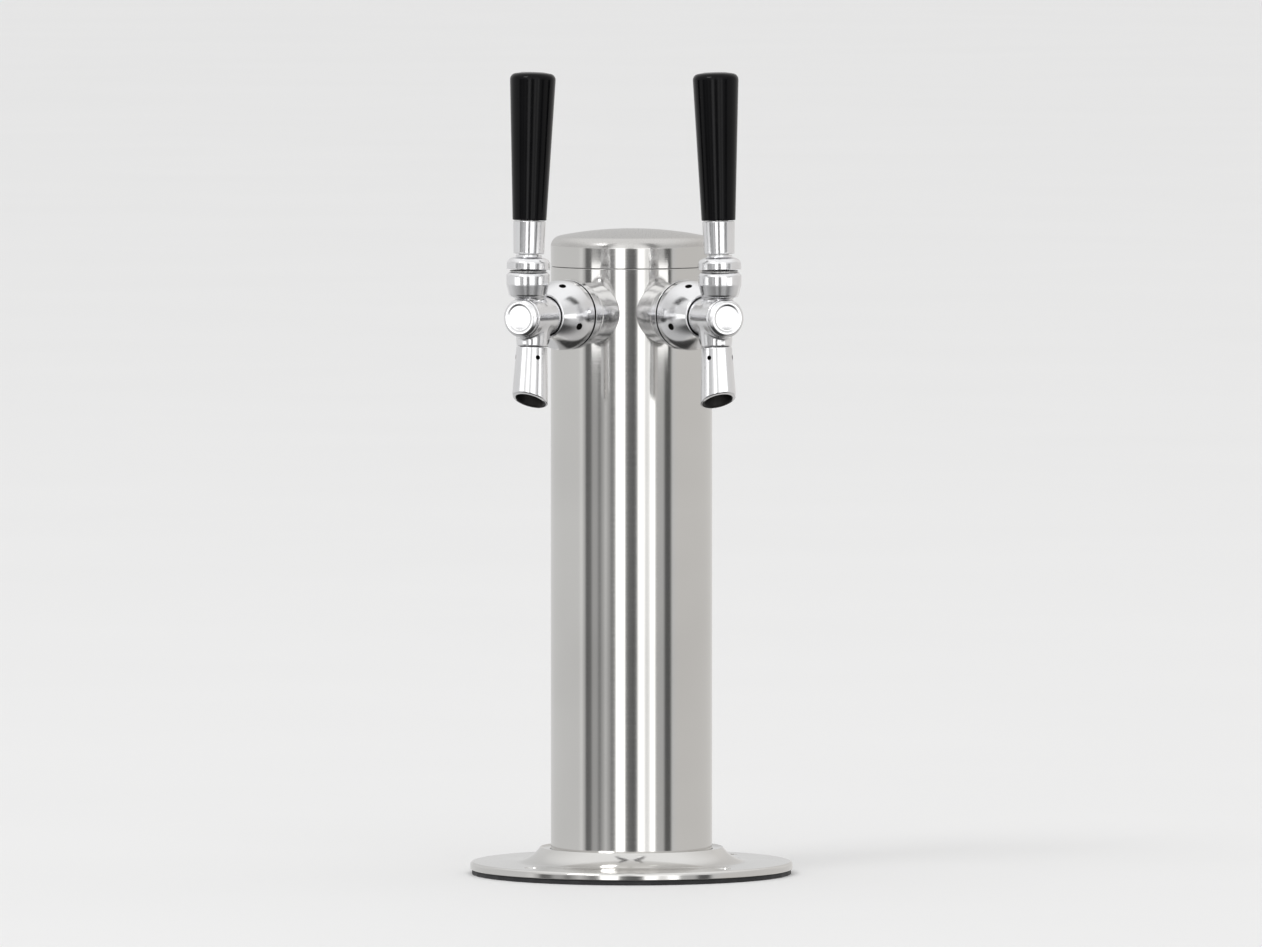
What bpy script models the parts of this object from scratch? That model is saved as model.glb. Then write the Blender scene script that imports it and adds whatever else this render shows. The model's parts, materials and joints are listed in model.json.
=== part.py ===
"""A draft beer tower with two faucets on one column, for a bar top or the lid of a keg fridge.

Lengths are in millimetres here, and MM turns them into metres. The origin is on the counter, in
the middle of the ground that the tower and its faucets cover, +Z is up and the faucets face -Y.
The column stands a little behind the origin. A faucet is modelled once, in a frame that starts
on the column's axis at the height of the shanks with +X running out along the shank, and the
left and the right faucet share its meshes. The lever's pieces are modelled upright round the
lever's pivot, and the plunger's pieces along X from the point below that pivot.
"""

from math import asin, cos, degrees, pi, radians, sin, tan

import bmesh
import bpy
from mathutils import Matrix, Vector

MM = 0.001
GAP = 0.3  # clearance between pieces that touch
SLIDE_GAP = 0.4  # clearance round a piece that slides or screws in

# The column and what stands it on the counter.
COLUMN_R = 38.1
COLUMN_INNER_R = 36.6
COLUMN_TOP = 287.2
GASKET_TOP = 2.0
FLANGE_R = 76.2
FLANGE_BOTTOM = GASKET_TOP + GAP
FLANGE_PLATE_TOP = 5.8
FLANGE_COLLAR_TOP = 12.0
HOSE_HOLE_R = 30.0
SCREW_CIRCLE_R = 63.5
SCREW_HOLE_R = 3.25
SCREW_COUNT = 4
SLEEVE_INNER_R = 26.0
SLEEVE_TOP = 235.0

# The cap: a skirt flush with the tube, a rounded corner and a shallow dome.
CAP_SEAM = COLUMN_TOP + GAP
CAP_RIM = 296.5
CAP_CORNER_R = 5.3
CAP_TOP = 305.0
CAP_WALL = 1.5
CAP_PLUG_R = COLUMN_INNER_R - SLIDE_GAP
CAP_PLUG_BOTTOM = 280.3
CAP_RING_BOTTOM = 281.7
CAP_RING_TOP = 283.5
CAP_RING_R = 36.35

# Where the faucets stand: degrees either side of straight ahead, and the height of the shanks.
SPREAD = 28.0
SHANK_Z = 266.5

# The shank, from its inner end out to the washer that the faucet closes on.
SHANK_R = 11.1
SHANK_HOLE_R = 11.6
SHANK_REAR = 25.5
SHANK_HEAD_R = 13.2
SHANK_HEAD_REAR = 55.6
SHANK_FRONT = 66.0
SHANK_BORE_R = 3.4
TAIL_SOCKET_R = 4.4
TAIL_SOCKET_END = 33.0
LOCKNUT_FLATS = 25.4
LOCKNUT_REAR = 25.9
LOCKNUT_FRONT = 30.7
SADDLE_WASHER_R = 13.2
ESCUTCHEON_FRONT = SHANK_HEAD_REAR - GAP
ESCUTCHEON_R = 15.2
ESCUTCHEON_WAIST_R = 14.4
TUBE_R = 4.0
TUBE_BORE_R = 2.5
TUBE_BEND_X = 14.0
TUBE_BEND_R = 7.0
TUBE_END_Z = -31.5
BARB_R = 4.8

# The coupling nut, whose domed front is held by a snap ring on the faucet's tail.
NUT_R = 16.5
NUT_REAR = SHANK_HEAD_REAR
NUT_SHOULDER = 65.0
NUT_FRONT = 80.5
NUT_THREAD_R = 13.5
NUT_RING_BORE_R = 12.1
NUT_LIP_R = 9.7
NUT_GROOVE_X = 61.0
SPANNER_HOLE_R = 1.7
SPANNER_HOLE_X = 72.0
SPANNER_HOLE_TURN = 19.0  # degrees below the horizontal on the side towards the middle
CHAMBER_R = 7.9
WASHER_REAR = SHANK_FRONT + GAP
WASHER_FRONT = 68.0
RING_REAR = 70.5
RING_FRONT = 72.1
RING_R = 11.8

# The faucet's body.
LEVER_X = 95.4
BODY_REAR = WASHER_FRONT + GAP
BODY_FRONT = 100.6
BARREL_R = 9.3
TAIL_GROOVE_R = 8.8
SEAT_X = 73.8
BORE_R = 5.2
PLUG_SOCKET_R = 7.3
PLUG_SOCKET_REAR = 97.6
CUP_R = 10.1
CUP_TOP = 21.3
SOCKET_R = 8.2
SOCKET_FLOOR = 12.3
BALL_RECESS_FLOOR = 10.0
SHOULDER_X = 93.2  # the shoulder walls in the slot that the lever's tail swings in
SHOULDER_R = 7.2
WEB_X = 87.4
WEB_R = 6.0
WEB_BOTTOM = -13.4
PLUG_R = 9.0
PLUG_REAR = BODY_FRONT + GAP
PLUG_FRONT = 103.5

# The spout leans forward, and its mouth is cut to face the drinker.
SPOUT_TOP = (LEVER_X - 3.4, -14.0)
SPOUT_LEAN = 4.1
SPOUT_MOUTH = -24.95  # along the spout, where its middle line leaves the mouth
SPOUT_TOP_R = 7.2
SPOUT_MOUTH_R = 8.4
SPOUT_WALL = 2.0
SPOUT_BORE_R = 4.4
SPIGOT_R = 5.5
SPIGOT_TOP = 5.6
MOUTH_TILT = 27.0
VENT_R = 1.1
VENT_TURN = 55.0
VENT_DROP = -4.8

# The lever, with heights above its pivot from here on.
PIVOT_Z = 17.0
LEVER_LEAN = -2.7
LEVER_SWING = 30.0
BALL_R = 6.5
NECK_R = 2.8
TAIL_R = 1.6
TIP_R = 1.9
TIP_DROP = 13.5
STUD_R = 4.6
STUD_BOTTOM = 10.0
STUD_TOP = 33.0
STUD_HOLE_R = 4.9
COLLAR_BOTTOM = 5.5
COLLAR_SHELL_R = 11.3  # the collar's hollow underside, round the pivot
COLLAR_CROWN_R = 10.3
FERRULE_BOTTOM = 12.7
FERRULE_TOP = 28.1
FERRULE_R = 7.6
HANDLE_BOTTOM = FERRULE_TOP + GAP
HANDLE_TOP = 97.7
HANDLE_BOTTOM_R = 7.95
HANDLE_TOP_R = 10.7

# The plunger, with places along X measured from below the pivot.
PLUNGER_R = 4.8
PLUNGER_FRONT = 4.9
PLUNGER_FLAT = 3.4  # flats on its sides let the beer past
PLUNGER_WAIST = -6.5
STEM_R = 3.0
STEM_REAR = SEAT_X - LEVER_X
THREAD_R = 2.0
THREAD_REAR = -28.4
SEAT_WASHER_R = 7.2
SEAT_WASHER_THICK = 2.7
WASHER_NUT_FLATS = 7.0
WASHER_NUT_THICK = 2.7

# How far behind the origin the column stands, so that base and faucets reach equally far.
REACH = PLUG_FRONT * cos(radians(SPREAD)) + PLUG_R * sin(radians(SPREAD))
SET_BACK = (REACH - FLANGE_R) / 2

# Facets round a turned piece.
WIDE = 40
MIDDLE = 18
SMALL = 12
TINY = 8

# Colour, roughness and metallic value of each material.
MATERIALS = {
    "polished_steel": ((0.66, 0.65, 0.63), 0.14, 1.0),
    "satin_steel": ((0.60, 0.59, 0.57), 0.30, 1.0),
    "chrome": ((0.82, 0.82, 0.83), 0.05, 1.0),
    "turned_steel": ((0.55, 0.55, 0.55), 0.28, 1.0),
    "brass": ((0.72, 0.53, 0.25), 0.30, 1.0),
    "black_handle": ((0.010, 0.010, 0.012), 0.10, 0.0),
    "rubber": ((0.020, 0.020, 0.022), 0.65, 0.0),
    "nylon": ((0.80, 0.79, 0.74), 0.45, 0.0),
    "foam": ((0.060, 0.060, 0.065), 0.90, 0.0),
}


# ---------------------------------------------------------------------------- helpers


def clear_scene():
    for obj in list(bpy.data.objects):
        bpy.data.objects.remove(obj, do_unlink=True)


def new_collection(name):
    collection = bpy.data.collections.new(name)
    bpy.context.scene.collection.children.link(collection)
    return collection


def new_material(name):
    colour, roughness, metallic = MATERIALS[name]
    material = bpy.data.materials.new(name)
    material.use_nodes = True
    shader = material.node_tree.nodes["Principled BSDF"]
    shader.inputs["Base Color"].default_value = (*colour, 1.0)
    shader.inputs["Roughness"].default_value = roughness
    shader.inputs["Metallic"].default_value = metallic
    material.diffuse_color = (*colour, 1.0)
    return material


def linked(name, mesh, collection):
    obj = bpy.data.objects.new(name, mesh)
    collection.objects.link(obj)
    return obj


def arc(radius, start, end, count, centre=(0.0, 0.0)):
    """Points of (radius, height) along an arc; the angles run from +height towards +radius."""
    angles = [radians(start + (end - start) * i / count) for i in range(count + 1)]
    return [(centre[0] + radius * sin(a), centre[1] + radius * cos(a)) for a in angles]


def turned(name, profile, steps, closed=True):
    """A shape turned round Z; the profile's (radius, height) points run down its outer side."""
    mesh = bpy.data.meshes.new(name)
    points = [(radius * MM, 0.0, height * MM) for radius, height in profile]
    edges = [(i, i + 1) for i in range(len(points) - 1)]
    if closed:
        edges.append((len(points) - 1, 0))
    mesh.from_pydata(points, edges, [])
    obj = linked(name, mesh, cutters)
    screw = obj.modifiers.new("turn", "SCREW")
    screw.steps = screw.render_steps = steps
    screw.use_merge_vertices = True
    screw.merge_threshold = 0.00001
    return baked(obj)


def baked(obj):
    """The object again, with its modifiers or its curve turned into one plain mesh."""
    bpy.context.view_layer.update()
    graph = bpy.context.evaluated_depsgraph_get()
    mesh = bpy.data.meshes.new_from_object(obj.evaluated_get(graph))
    solid = linked(obj.name, mesh, cutters)
    solid.matrix_world = obj.matrix_world
    name = obj.name
    bpy.data.objects.remove(obj, do_unlink=True)
    solid.name = name
    return solid


def welded(obj):
    """The object with corners that lie on each other joined, such as those of a curve's loose caps."""
    shell = bmesh.new()
    shell.from_mesh(obj.data)
    bmesh.ops.remove_doubles(shell, verts=shell.verts, dist=0.000002)
    bmesh.ops.recalc_face_normals(shell, faces=shell.faces)
    shell.to_mesh(obj.data)
    shell.free()
    return obj


def moved(obj, matrix):
    """Moves the mesh itself, so that the object keeps its origin in its own frame."""
    obj.data.transform(matrix)
    return obj


def along_x(obj):
    return moved(obj, Matrix.Rotation(pi / 2, 4, "Y"))


def shifted(obj, x=0.0, y=0.0, z=0.0):
    return moved(obj, Matrix.Translation(Vector((x, y, z)) * MM))


def cylinder(name, radius, start, end, segments):
    """A round bar between two points."""
    start = Vector(start) * MM
    end = Vector(end) * MM
    axis = end - start
    turn = axis.to_track_quat("Z", "X").to_matrix().to_4x4()
    mesh = bpy.data.meshes.new(name)
    bar = bmesh.new()
    bmesh.ops.create_cone(
        bar,
        cap_ends=True,
        segments=segments,
        radius1=radius * MM,
        radius2=radius * MM,
        depth=axis.length,
        matrix=Matrix.Translation((start + end) / 2) @ turn,
    )
    bar.to_mesh(mesh)
    bar.free()
    return linked(name, mesh, cutters)


def block(name, low, high):
    """A box between its lowest and its highest corner."""
    size = (Vector(high) - Vector(low)) * MM
    middle = (Vector(high) + Vector(low)) / 2 * MM
    place = Matrix.Translation(middle) @ Matrix.Diagonal((*size, 1.0))
    mesh = bpy.data.meshes.new(name)
    box = bmesh.new()
    bmesh.ops.create_cube(box, size=1.0, matrix=place)
    box.to_mesh(mesh)
    box.free()
    return linked(name, mesh, cutters)


def plate(name, outline, half_thickness):
    """A flat outline in the XZ plane, as thick as twice half_thickness along Y."""
    curve = bpy.data.curves.new(name, "CURVE")
    curve.dimensions = "2D"
    curve.fill_mode = "BOTH"
    curve.extrude = half_thickness * MM
    spline = curve.splines.new("POLY")
    spline.points.add(len(outline) - 1)
    for point, (x, z) in zip(spline.points, outline):
        point.co = (x * MM, z * MM, 0.0, 1.0)
    spline.use_cyclic_u = True
    flat = welded(baked(linked(name, curve, cutters)))
    return moved(flat, Matrix.Rotation(pi / 2, 4, "X"))


def pipe(name, route, radius):
    """A round bar that follows a route of points."""
    curve = bpy.data.curves.new(name, "CURVE")
    curve.dimensions = "3D"
    curve.bevel_depth = radius * MM
    curve.bevel_resolution = 2
    curve.use_fill_caps = True
    spline = curve.splines.new("POLY")
    spline.points.add(len(route) - 1)
    for point, place in zip(spline.points, route):
        point.co = (*(Vector(place) * MM), 1.0)
    return welded(baked(linked(name, curve, cutters)))


def hexagon(name, flats, rear, front, hole_r):
    """A nut along X with two of its flats facing sideways."""
    corner_r = flats / 2 / cos(pi / 6)
    profile = [(0.0, front), (corner_r, front), (corner_r, rear), (0.0, rear)]
    nut = along_x(turned(name, profile, 6, closed=False))
    hole = cylinder(name + "_hole", hole_r, (rear - 1, 0, 0), (front + 1, 0, 0), MIDDLE)
    return combine(nut, "DIFFERENCE", hole)


def combine(obj, operation, *others):
    """Joins, cuts or keeps the overlap of the object with each of the others, which stay as guides."""
    for other in others:
        change = obj.modifiers.new(operation.lower(), "BOOLEAN")
        change.operation = operation
        change.object = other
        change.solver = "EXACT"
        obj = welded(baked(obj))
    return obj


def finished(obj):
    """The object's mesh, shaded smooth but for its real edges."""
    mesh = obj.data
    mesh.shade_smooth()
    mesh.set_sharp_from_angle(angle=radians(32))
    bpy.data.objects.remove(obj, do_unlink=True)
    return mesh


def spout_frame():
    """From the spout's own frame, where it runs down -Z, to the faucet's."""
    place = Matrix.Translation(Vector((SPOUT_TOP[0], 0.0, SPOUT_TOP[1])) * MM)
    return place @ Matrix.Rotation(radians(-SPOUT_LEAN), 4, "Y")


# ---------------------------------------------------------------------------- the column


def column_tube():
    tube = turned(
        "tube",
        [
            (COLUMN_INNER_R, COLUMN_TOP),
            (COLUMN_R, COLUMN_TOP),
            (COLUMN_R, FLANGE_PLATE_TOP + GAP),
            (COLUMN_INNER_R, FLANGE_PLATE_TOP + GAP),
        ],
        WIDE,
    )
    holes = []
    for side in SIDES:
        way_out = Vector((cos(side["turn"]), sin(side["turn"]), 0.0))
        height = Vector((0.0, 0.0, SHANK_Z))
        start = height + way_out * (COLUMN_INNER_R - 8)
        end = height + way_out * (COLUMN_R + 6)
        holes.append(cylinder(side["name"] + "_shank_hole", SHANK_HOLE_R, start, end, MIDDLE))
    return finished(combine(tube, "DIFFERENCE", *holes))


def screw_holes(name, radius, top):
    """The cutters for the screws that would hold the base down."""
    cutters_made = []
    for i in range(SCREW_COUNT):
        angle = pi / SCREW_COUNT + 2 * pi * i / SCREW_COUNT
        x = SCREW_CIRCLE_R * cos(angle)
        y = SCREW_CIRCLE_R * sin(angle)
        cutters_made.append(cylinder(f"{name}_{i + 1}", radius, (x, y, -1.0), (x, y, top), TINY))
    return cutters_made


def base_flange():
    collar_r = COLUMN_R + GAP
    ring = turned(
        "flange",
        [
            (collar_r, FLANGE_COLLAR_TOP),
            (collar_r + 2.4, FLANGE_COLLAR_TOP),
            (collar_r + 4.6, FLANGE_COLLAR_TOP - 1.6),
            (collar_r + 10.0, FLANGE_COLLAR_TOP - 4.4),
            (collar_r + 20.0, FLANGE_PLATE_TOP),
            (FLANGE_R - 1.4, FLANGE_PLATE_TOP),
            (FLANGE_R, FLANGE_PLATE_TOP - 1.2),
            (FLANGE_R, FLANGE_BOTTOM),
            (HOSE_HOLE_R, FLANGE_BOTTOM),
            (HOSE_HOLE_R, FLANGE_PLATE_TOP),
            (collar_r, FLANGE_PLATE_TOP),
        ],
        WIDE,
    )
    holes = screw_holes("flange_screw_hole", SCREW_HOLE_R, FLANGE_COLLAR_TOP)
    return finished(combine(ring, "DIFFERENCE", *holes))


def base_gasket():
    ring = turned(
        "gasket",
        [
            (HOSE_HOLE_R, GASKET_TOP),
            (FLANGE_R - 0.7, GASKET_TOP),
            (FLANGE_R - 0.7, 0.0),
            (HOSE_HOLE_R, 0.0),
        ],
        WIDE,
    )
    holes = screw_holes("gasket_screw_hole", SCREW_HOLE_R + 0.25, FLANGE_BOTTOM)
    return finished(combine(ring, "DIFFERENCE", *holes))


def insulation_sleeve():
    bottom = FLANGE_PLATE_TOP + GAP
    outer_r = COLUMN_INNER_R - GAP
    profile = [
        (SLEEVE_INNER_R, SLEEVE_TOP),
        (outer_r, SLEEVE_TOP),
        (outer_r, bottom),
        (SLEEVE_INNER_R, bottom),
    ]
    return finished(turned("sleeve", profile, WIDE // 2))


def cap_arcs(inset):
    """The arcs of the dome and of its rounded corner, moved inwards by inset."""
    reach = COLUMN_R - CAP_CORNER_R
    rise = CAP_TOP - CAP_RIM
    # The two arcs run into each other without a kink, which sets the dome's radius.
    dome_r = (reach**2 + rise**2 - CAP_CORNER_R**2) / (2 * (rise - CAP_CORNER_R))
    meet = degrees(asin(reach / (dome_r - CAP_CORNER_R)))
    dome = arc(dome_r - inset, 0.0, meet, 3, (0.0, CAP_TOP - dome_r))
    corner = arc(CAP_CORNER_R - inset, meet, 90.0, 3, (reach, CAP_RIM))
    return dome, corner


def column_cap():
    plug_wall_r = CAP_PLUG_R - 1.8
    groove_r = CAP_RING_R - 1.3
    dome, corner = cap_arcs(0.0)
    hollow, _ = cap_arcs(CAP_WALL)
    profile = dome + corner[1:]
    profile += [
        (COLUMN_R, CAP_SEAM),
        (CAP_PLUG_R, CAP_SEAM),
        (CAP_PLUG_R, CAP_RING_TOP + GAP),
        (groove_r, CAP_RING_TOP + GAP),
        (groove_r, CAP_RING_BOTTOM - GAP),
        (CAP_PLUG_R, CAP_RING_BOTTOM - GAP),
        (CAP_PLUG_R, CAP_PLUG_BOTTOM),
        (plug_wall_r, CAP_PLUG_BOTTOM),
        (plug_wall_r, CAP_RIM),
    ]
    return finished(turned("cap", profile + hollow[::-1], WIDE, closed=False))


def cap_ring():
    inner_r = CAP_RING_R - 1.0
    profile = [
        (inner_r, CAP_RING_TOP),
        (CAP_RING_R, CAP_RING_TOP),
        (CAP_RING_R, CAP_RING_BOTTOM),
        (inner_r, CAP_RING_BOTTOM),
    ]
    return finished(turned("ring", profile, WIDE))


# ---------------------------------------------------------------------------- the shank


def shank_escutcheon():
    hole_r = SHANK_R + SLIDE_GAP
    ring = along_x(
        turned(
            "escutcheon",
            [
                (hole_r, ESCUTCHEON_FRONT),
                (ESCUTCHEON_R - 0.7, ESCUTCHEON_FRONT),
                (ESCUTCHEON_R, ESCUTCHEON_FRONT - 0.7),
                (ESCUTCHEON_R, ESCUTCHEON_FRONT - 3.0),
                (ESCUTCHEON_WAIST_R, ESCUTCHEON_FRONT - 10.0),
                (ESCUTCHEON_WAIST_R, COLUMN_R - 6.0),
                (hole_r, COLUMN_R - 6.0),
            ],
            MIDDLE,
        )
    )
    height = ESCUTCHEON_R + 4
    column = cylinder("column_wall", COLUMN_R + GAP, (0, 0, -height), (0, 0, height), WIDE)
    return finished(combine(ring, "DIFFERENCE", column))


def saddle_washer():
    hole_r = SHANK_R + SLIDE_GAP
    rear = LOCKNUT_FRONT + GAP
    ring = along_x(
        turned(
            "saddle",
            [
                (hole_r, COLUMN_R),
                (SADDLE_WASHER_R, COLUMN_R),
                (SADDLE_WASHER_R, rear),
                (hole_r, rear),
            ],
            MIDDLE,
        )
    )
    height = SADDLE_WASHER_R + 4
    inner_r = COLUMN_INNER_R - SLIDE_GAP
    inside = cylinder("column_inside", inner_r, (0, 0, -height), (0, 0, height), WIDE)
    return finished(combine(ring, "INTERSECT", inside))


def shank_locknut():
    return finished(hexagon("locknut", LOCKNUT_FLATS, LOCKNUT_REAR, LOCKNUT_FRONT, SHANK_R + GAP))


def shank():
    return finished(
        along_x(
            turned(
                "shank",
                [
                    (CHAMBER_R, SHANK_FRONT),
                    (SHANK_HEAD_R - 0.6, SHANK_FRONT),
                    (SHANK_HEAD_R, SHANK_FRONT - 0.6),
                    (SHANK_HEAD_R, SHANK_HEAD_REAR),
                    (SHANK_R, SHANK_HEAD_REAR),
                    (SHANK_R, SHANK_REAR),
                    (TAIL_SOCKET_R, SHANK_REAR),
                    (TAIL_SOCKET_R, TAIL_SOCKET_END),
                    (SHANK_BORE_R, TAIL_SOCKET_END),
                    (SHANK_BORE_R, SHANK_FRONT - 9.5),
                    (CHAMBER_R, SHANK_FRONT - 7.8),
                ],
                MIDDLE,
            )
        )
    )


def elbow_route(overrun):
    """The middle line of the tube that turns the beer line down inside the column."""
    start = TAIL_SOCKET_END - 0.5 + overrun
    bend_centre = (TUBE_BEND_X + TUBE_BEND_R, -TUBE_BEND_R)
    bend = arc(TUBE_BEND_R, 0.0, -90.0, 5, bend_centre)
    route = [(start, 0.0)] + bend + [(TUBE_BEND_X, TUBE_END_Z - overrun)]
    return [(x, 0.0, z) for x, z in route]


def tail_elbow():
    tube = pipe("elbow", elbow_route(0.0), TUBE_R)
    barbs = []
    for i in range(2):
        top = TUBE_END_Z + 11.0 - 5.0 * i
        profile = [
            (0.0, top),
            (BARB_R, top),
            (BARB_R, top - 0.5),
            (TUBE_R - 0.5, top - 3.5),
            (0.0, top - 3.5),
        ]
        barb = turned(f"barb_{i + 1}", profile, TINY, closed=False)
        barbs.append(shifted(barb, x=TUBE_BEND_X))
    solid = combine(tube, "UNION", *barbs)
    bore = pipe("elbow_bore", elbow_route(2.0), TUBE_BORE_R)
    return finished(combine(solid, "DIFFERENCE", bore))


# ---------------------------------------------------------------------------- the coupling


def nut_dome(points):
    """The nut's front from its face back to its shoulder, fuller than a cone and less than a ball."""
    face_r = NUT_LIP_R + 0.7
    steps = [1 - i / points for i in range(points + 1)]
    length = NUT_FRONT - NUT_SHOULDER
    return [(face_r + (NUT_R - face_r) * (1 - s**1.6), NUT_SHOULDER + length * s) for s in steps]


def coupling_nut():
    profile = [(NUT_LIP_R, NUT_FRONT)] + nut_dome(4)
    profile += [
        (NUT_R, NUT_GROOVE_X + 0.7),
        (NUT_R - 1.0, NUT_GROOVE_X + 0.5),
        (NUT_R - 1.0, NUT_GROOVE_X - 0.5),
        (NUT_R, NUT_GROOVE_X - 0.7),
        (NUT_R, NUT_REAR + 0.7),
        (NUT_R - 0.7, NUT_REAR),
        (NUT_THREAD_R, NUT_REAR),
        (NUT_THREAD_R, WASHER_FRONT + GAP),
        (NUT_RING_BORE_R, WASHER_FRONT + 1.2),
        (NUT_RING_BORE_R, RING_FRONT + GAP),
        (NUT_LIP_R, RING_FRONT + GAP),
    ]
    nut = along_x(turned("nut", profile, MIDDLE))
    holes = []
    for i in range(4):
        start = Vector((SPANNER_HOLE_X - 0.7, NUT_RING_BORE_R + 1.0, 0.0))
        end = Vector((SPANNER_HOLE_X + 0.9, NUT_R + 0.7, 0.0))
        hole = cylinder(f"spanner_hole_{i + 1}", SPANNER_HOLE_R, start, end, 8)
        holes.append(moved(hole, Matrix.Rotation(pi / 2 * i, 4, "X")))
    return finished(combine(nut, "DIFFERENCE", *holes))


def coupling_washer():
    outer_r = SHANK_HEAD_R - 0.6
    inner_r = CHAMBER_R + 0.1
    profile = [
        (inner_r, WASHER_FRONT),
        (outer_r, WASHER_FRONT),
        (outer_r, WASHER_REAR),
        (inner_r, WASHER_REAR),
    ]
    return finished(along_x(turned("washer", profile, MIDDLE)))


def snap_ring():
    inner_r = TAIL_GROOVE_R + GAP
    profile = [(inner_r, RING_FRONT), (RING_R, RING_FRONT), (RING_R, RING_REAR), (inner_r, RING_REAR)]
    ring = along_x(turned("snap", profile, MIDDLE))
    gap = block("snap_gap", (RING_REAR - 1, -1.6, -RING_R - 2), (RING_FRONT + 1, 1.6, -inner_r + 2))
    return finished(combine(ring, "DIFFERENCE", gap))


# ---------------------------------------------------------------------------- the faucet


def body_blank():
    """The body before it is bored: barrel, cup, spout boss and the web behind the boss."""
    barrel = along_x(
        turned(
            "barrel",
            [
                (0.0, BODY_FRONT),
                (BARREL_R - 0.6, BODY_FRONT),
                (BARREL_R, BODY_FRONT - 0.6),
                (BARREL_R, RING_FRONT + GAP),
                (TAIL_GROOVE_R, RING_FRONT + GAP),
                (TAIL_GROOVE_R, RING_REAR - GAP),
                (BARREL_R, RING_REAR - GAP),
                (BARREL_R, BODY_REAR),
                (0.0, BODY_REAR),
            ],
            MIDDLE,
            closed=False,
        )
    )
    neck_r = BODY_FRONT - LEVER_X - 0.2
    cup = turned(
        "cup",
        [
            (0.0, CUP_TOP),
            (CUP_R - 1.2, CUP_TOP),
            (CUP_R, CUP_TOP - 1.4),
            (CUP_R, CUP_TOP - 5.7),
            (CUP_R - 1.3, CUP_TOP - 10.9),
            (CUP_R - 1.7, PLUG_R + 0.8),
            (neck_r, PLUG_R + 0.35),
            (neck_r, 1.0),
            (0.0, 1.0),
        ],
        MIDDLE,
        closed=False,
    )
    boss_profile = [(0.0, 14.0), (8.8, 14.0), (7.3, 4.0), (7.1, GAP), (0.0, GAP)]
    boss = moved(turned("boss", boss_profile, MIDDLE, closed=False), spout_frame())
    shoulder_top = (SHOULDER_X, 0, PLUG_R + 1.1)
    shoulder = cylinder("shoulder", SHOULDER_R, (SHOULDER_X, 0, 1.0), shoulder_top, MIDDLE)
    web = cylinder("web", WEB_R, (WEB_X, 0, WEB_BOTTOM + 1.6), (WEB_X, 0, 0), SMALL)
    rib = block("rib", (WEB_X, -WEB_R + 0.4, WEB_BOTTOM + 1.0), (SPOUT_TOP[0] - 3.0, WEB_R - 0.4, 0))
    return combine(barrel, "UNION", shifted(cup, x=LEVER_X), shoulder, boss, web, rib)


def tail_slot():
    """The slot through which the lever's tail reaches the plunger, wide enough for its swing."""
    swing = radians(LEVER_SWING + LEVER_LEAN + 1.0)
    front = LEVER_X + TIP_R + 1.0
    top = SOCKET_FLOOR + 0.3
    bottom = 1.0

    def rear(z):
        return LEVER_X - (PIVOT_Z - z) * tan(swing) - (TAIL_R + 0.6) / cos(swing)

    outline = [(rear(bottom), bottom), (front, bottom), (front, top), (rear(top), top)]
    return plate("tail_slot", outline, TIP_R + 0.6)


def faucet_body():
    bore = along_x(
        turned(
            "bore",
            [
                (0.0, BODY_FRONT + 1),
                (PLUG_SOCKET_R, BODY_FRONT + 1),
                (PLUG_SOCKET_R, PLUG_SOCKET_REAR),
                (BORE_R, PLUG_SOCKET_REAR),
                (BORE_R, SEAT_X),
                (CHAMBER_R, SEAT_X),
                (CHAMBER_R, BODY_REAR - 1),
                (0.0, BODY_REAR - 1),
            ],
            MIDDLE,
            closed=False,
        )
    )
    socket = turned(
        "socket",
        [
            (0.0, CUP_TOP + 1),
            (SOCKET_R, CUP_TOP + 1),
            (SOCKET_R, SOCKET_FLOOR),
            (BORE_R, SOCKET_FLOOR),
            (BORE_R, BALL_RECESS_FLOOR),
            (0.0, BALL_RECESS_FLOOR),
        ],
        MIDDLE,
        closed=False,
    )
    bore_top = -SPOUT_TOP[1] - 3.0
    spigot_bore_r = SPIGOT_R + SLIDE_GAP
    down_bore = turned(
        "down_bore",
        [
            (0.0, bore_top),
            (SPOUT_BORE_R, bore_top),
            (SPOUT_BORE_R, SPIGOT_TOP + GAP),
            (spigot_bore_r, SPIGOT_TOP + GAP),
            (spigot_bore_r, -2.0),
            (0.0, -2.0),
        ],
        SMALL,
        closed=False,
    )
    moved(down_bore, spout_frame())
    shifted(socket, x=LEVER_X)
    return finished(combine(body_blank(), "DIFFERENCE", bore, socket, tail_slot(), down_bore))


def spout():
    spread = (SPOUT_MOUTH_R - SPOUT_TOP_R) / -SPOUT_MOUTH
    low = SPOUT_MOUTH - 8.0
    low_r = SPOUT_TOP_R - spread * low
    tube = turned(
        "spout",
        [
            (SPOUT_BORE_R, SPIGOT_TOP),
            (SPIGOT_R, SPIGOT_TOP),
            (SPIGOT_R, 0.0),
            (SPOUT_TOP_R, 0.0),
            (low_r, low),
            (low_r - SPOUT_WALL, low),
            (SPOUT_BORE_R, -5.0),
        ],
        MIDDLE,
    )
    below = block("below_mouth", (-30, -20, -30), (30, 20, 0))
    moved(below, Matrix.Rotation(radians(-(MOUTH_TILT - SPOUT_LEAN)), 4, "Y"))
    shifted(below, z=SPOUT_MOUTH)
    vents = []
    for i, turn in enumerate((-VENT_TURN, VENT_TURN)):
        vent = cylinder(f"vent_{i + 1}", VENT_R, (2.0, 0, VENT_DROP), (SPOUT_TOP_R + 3, 0, VENT_DROP), 8)
        vents.append(moved(vent, Matrix.Rotation(radians(turn), 4, "Z")))
    return finished(moved(combine(tube, "DIFFERENCE", below, *vents), spout_frame()))


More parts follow.
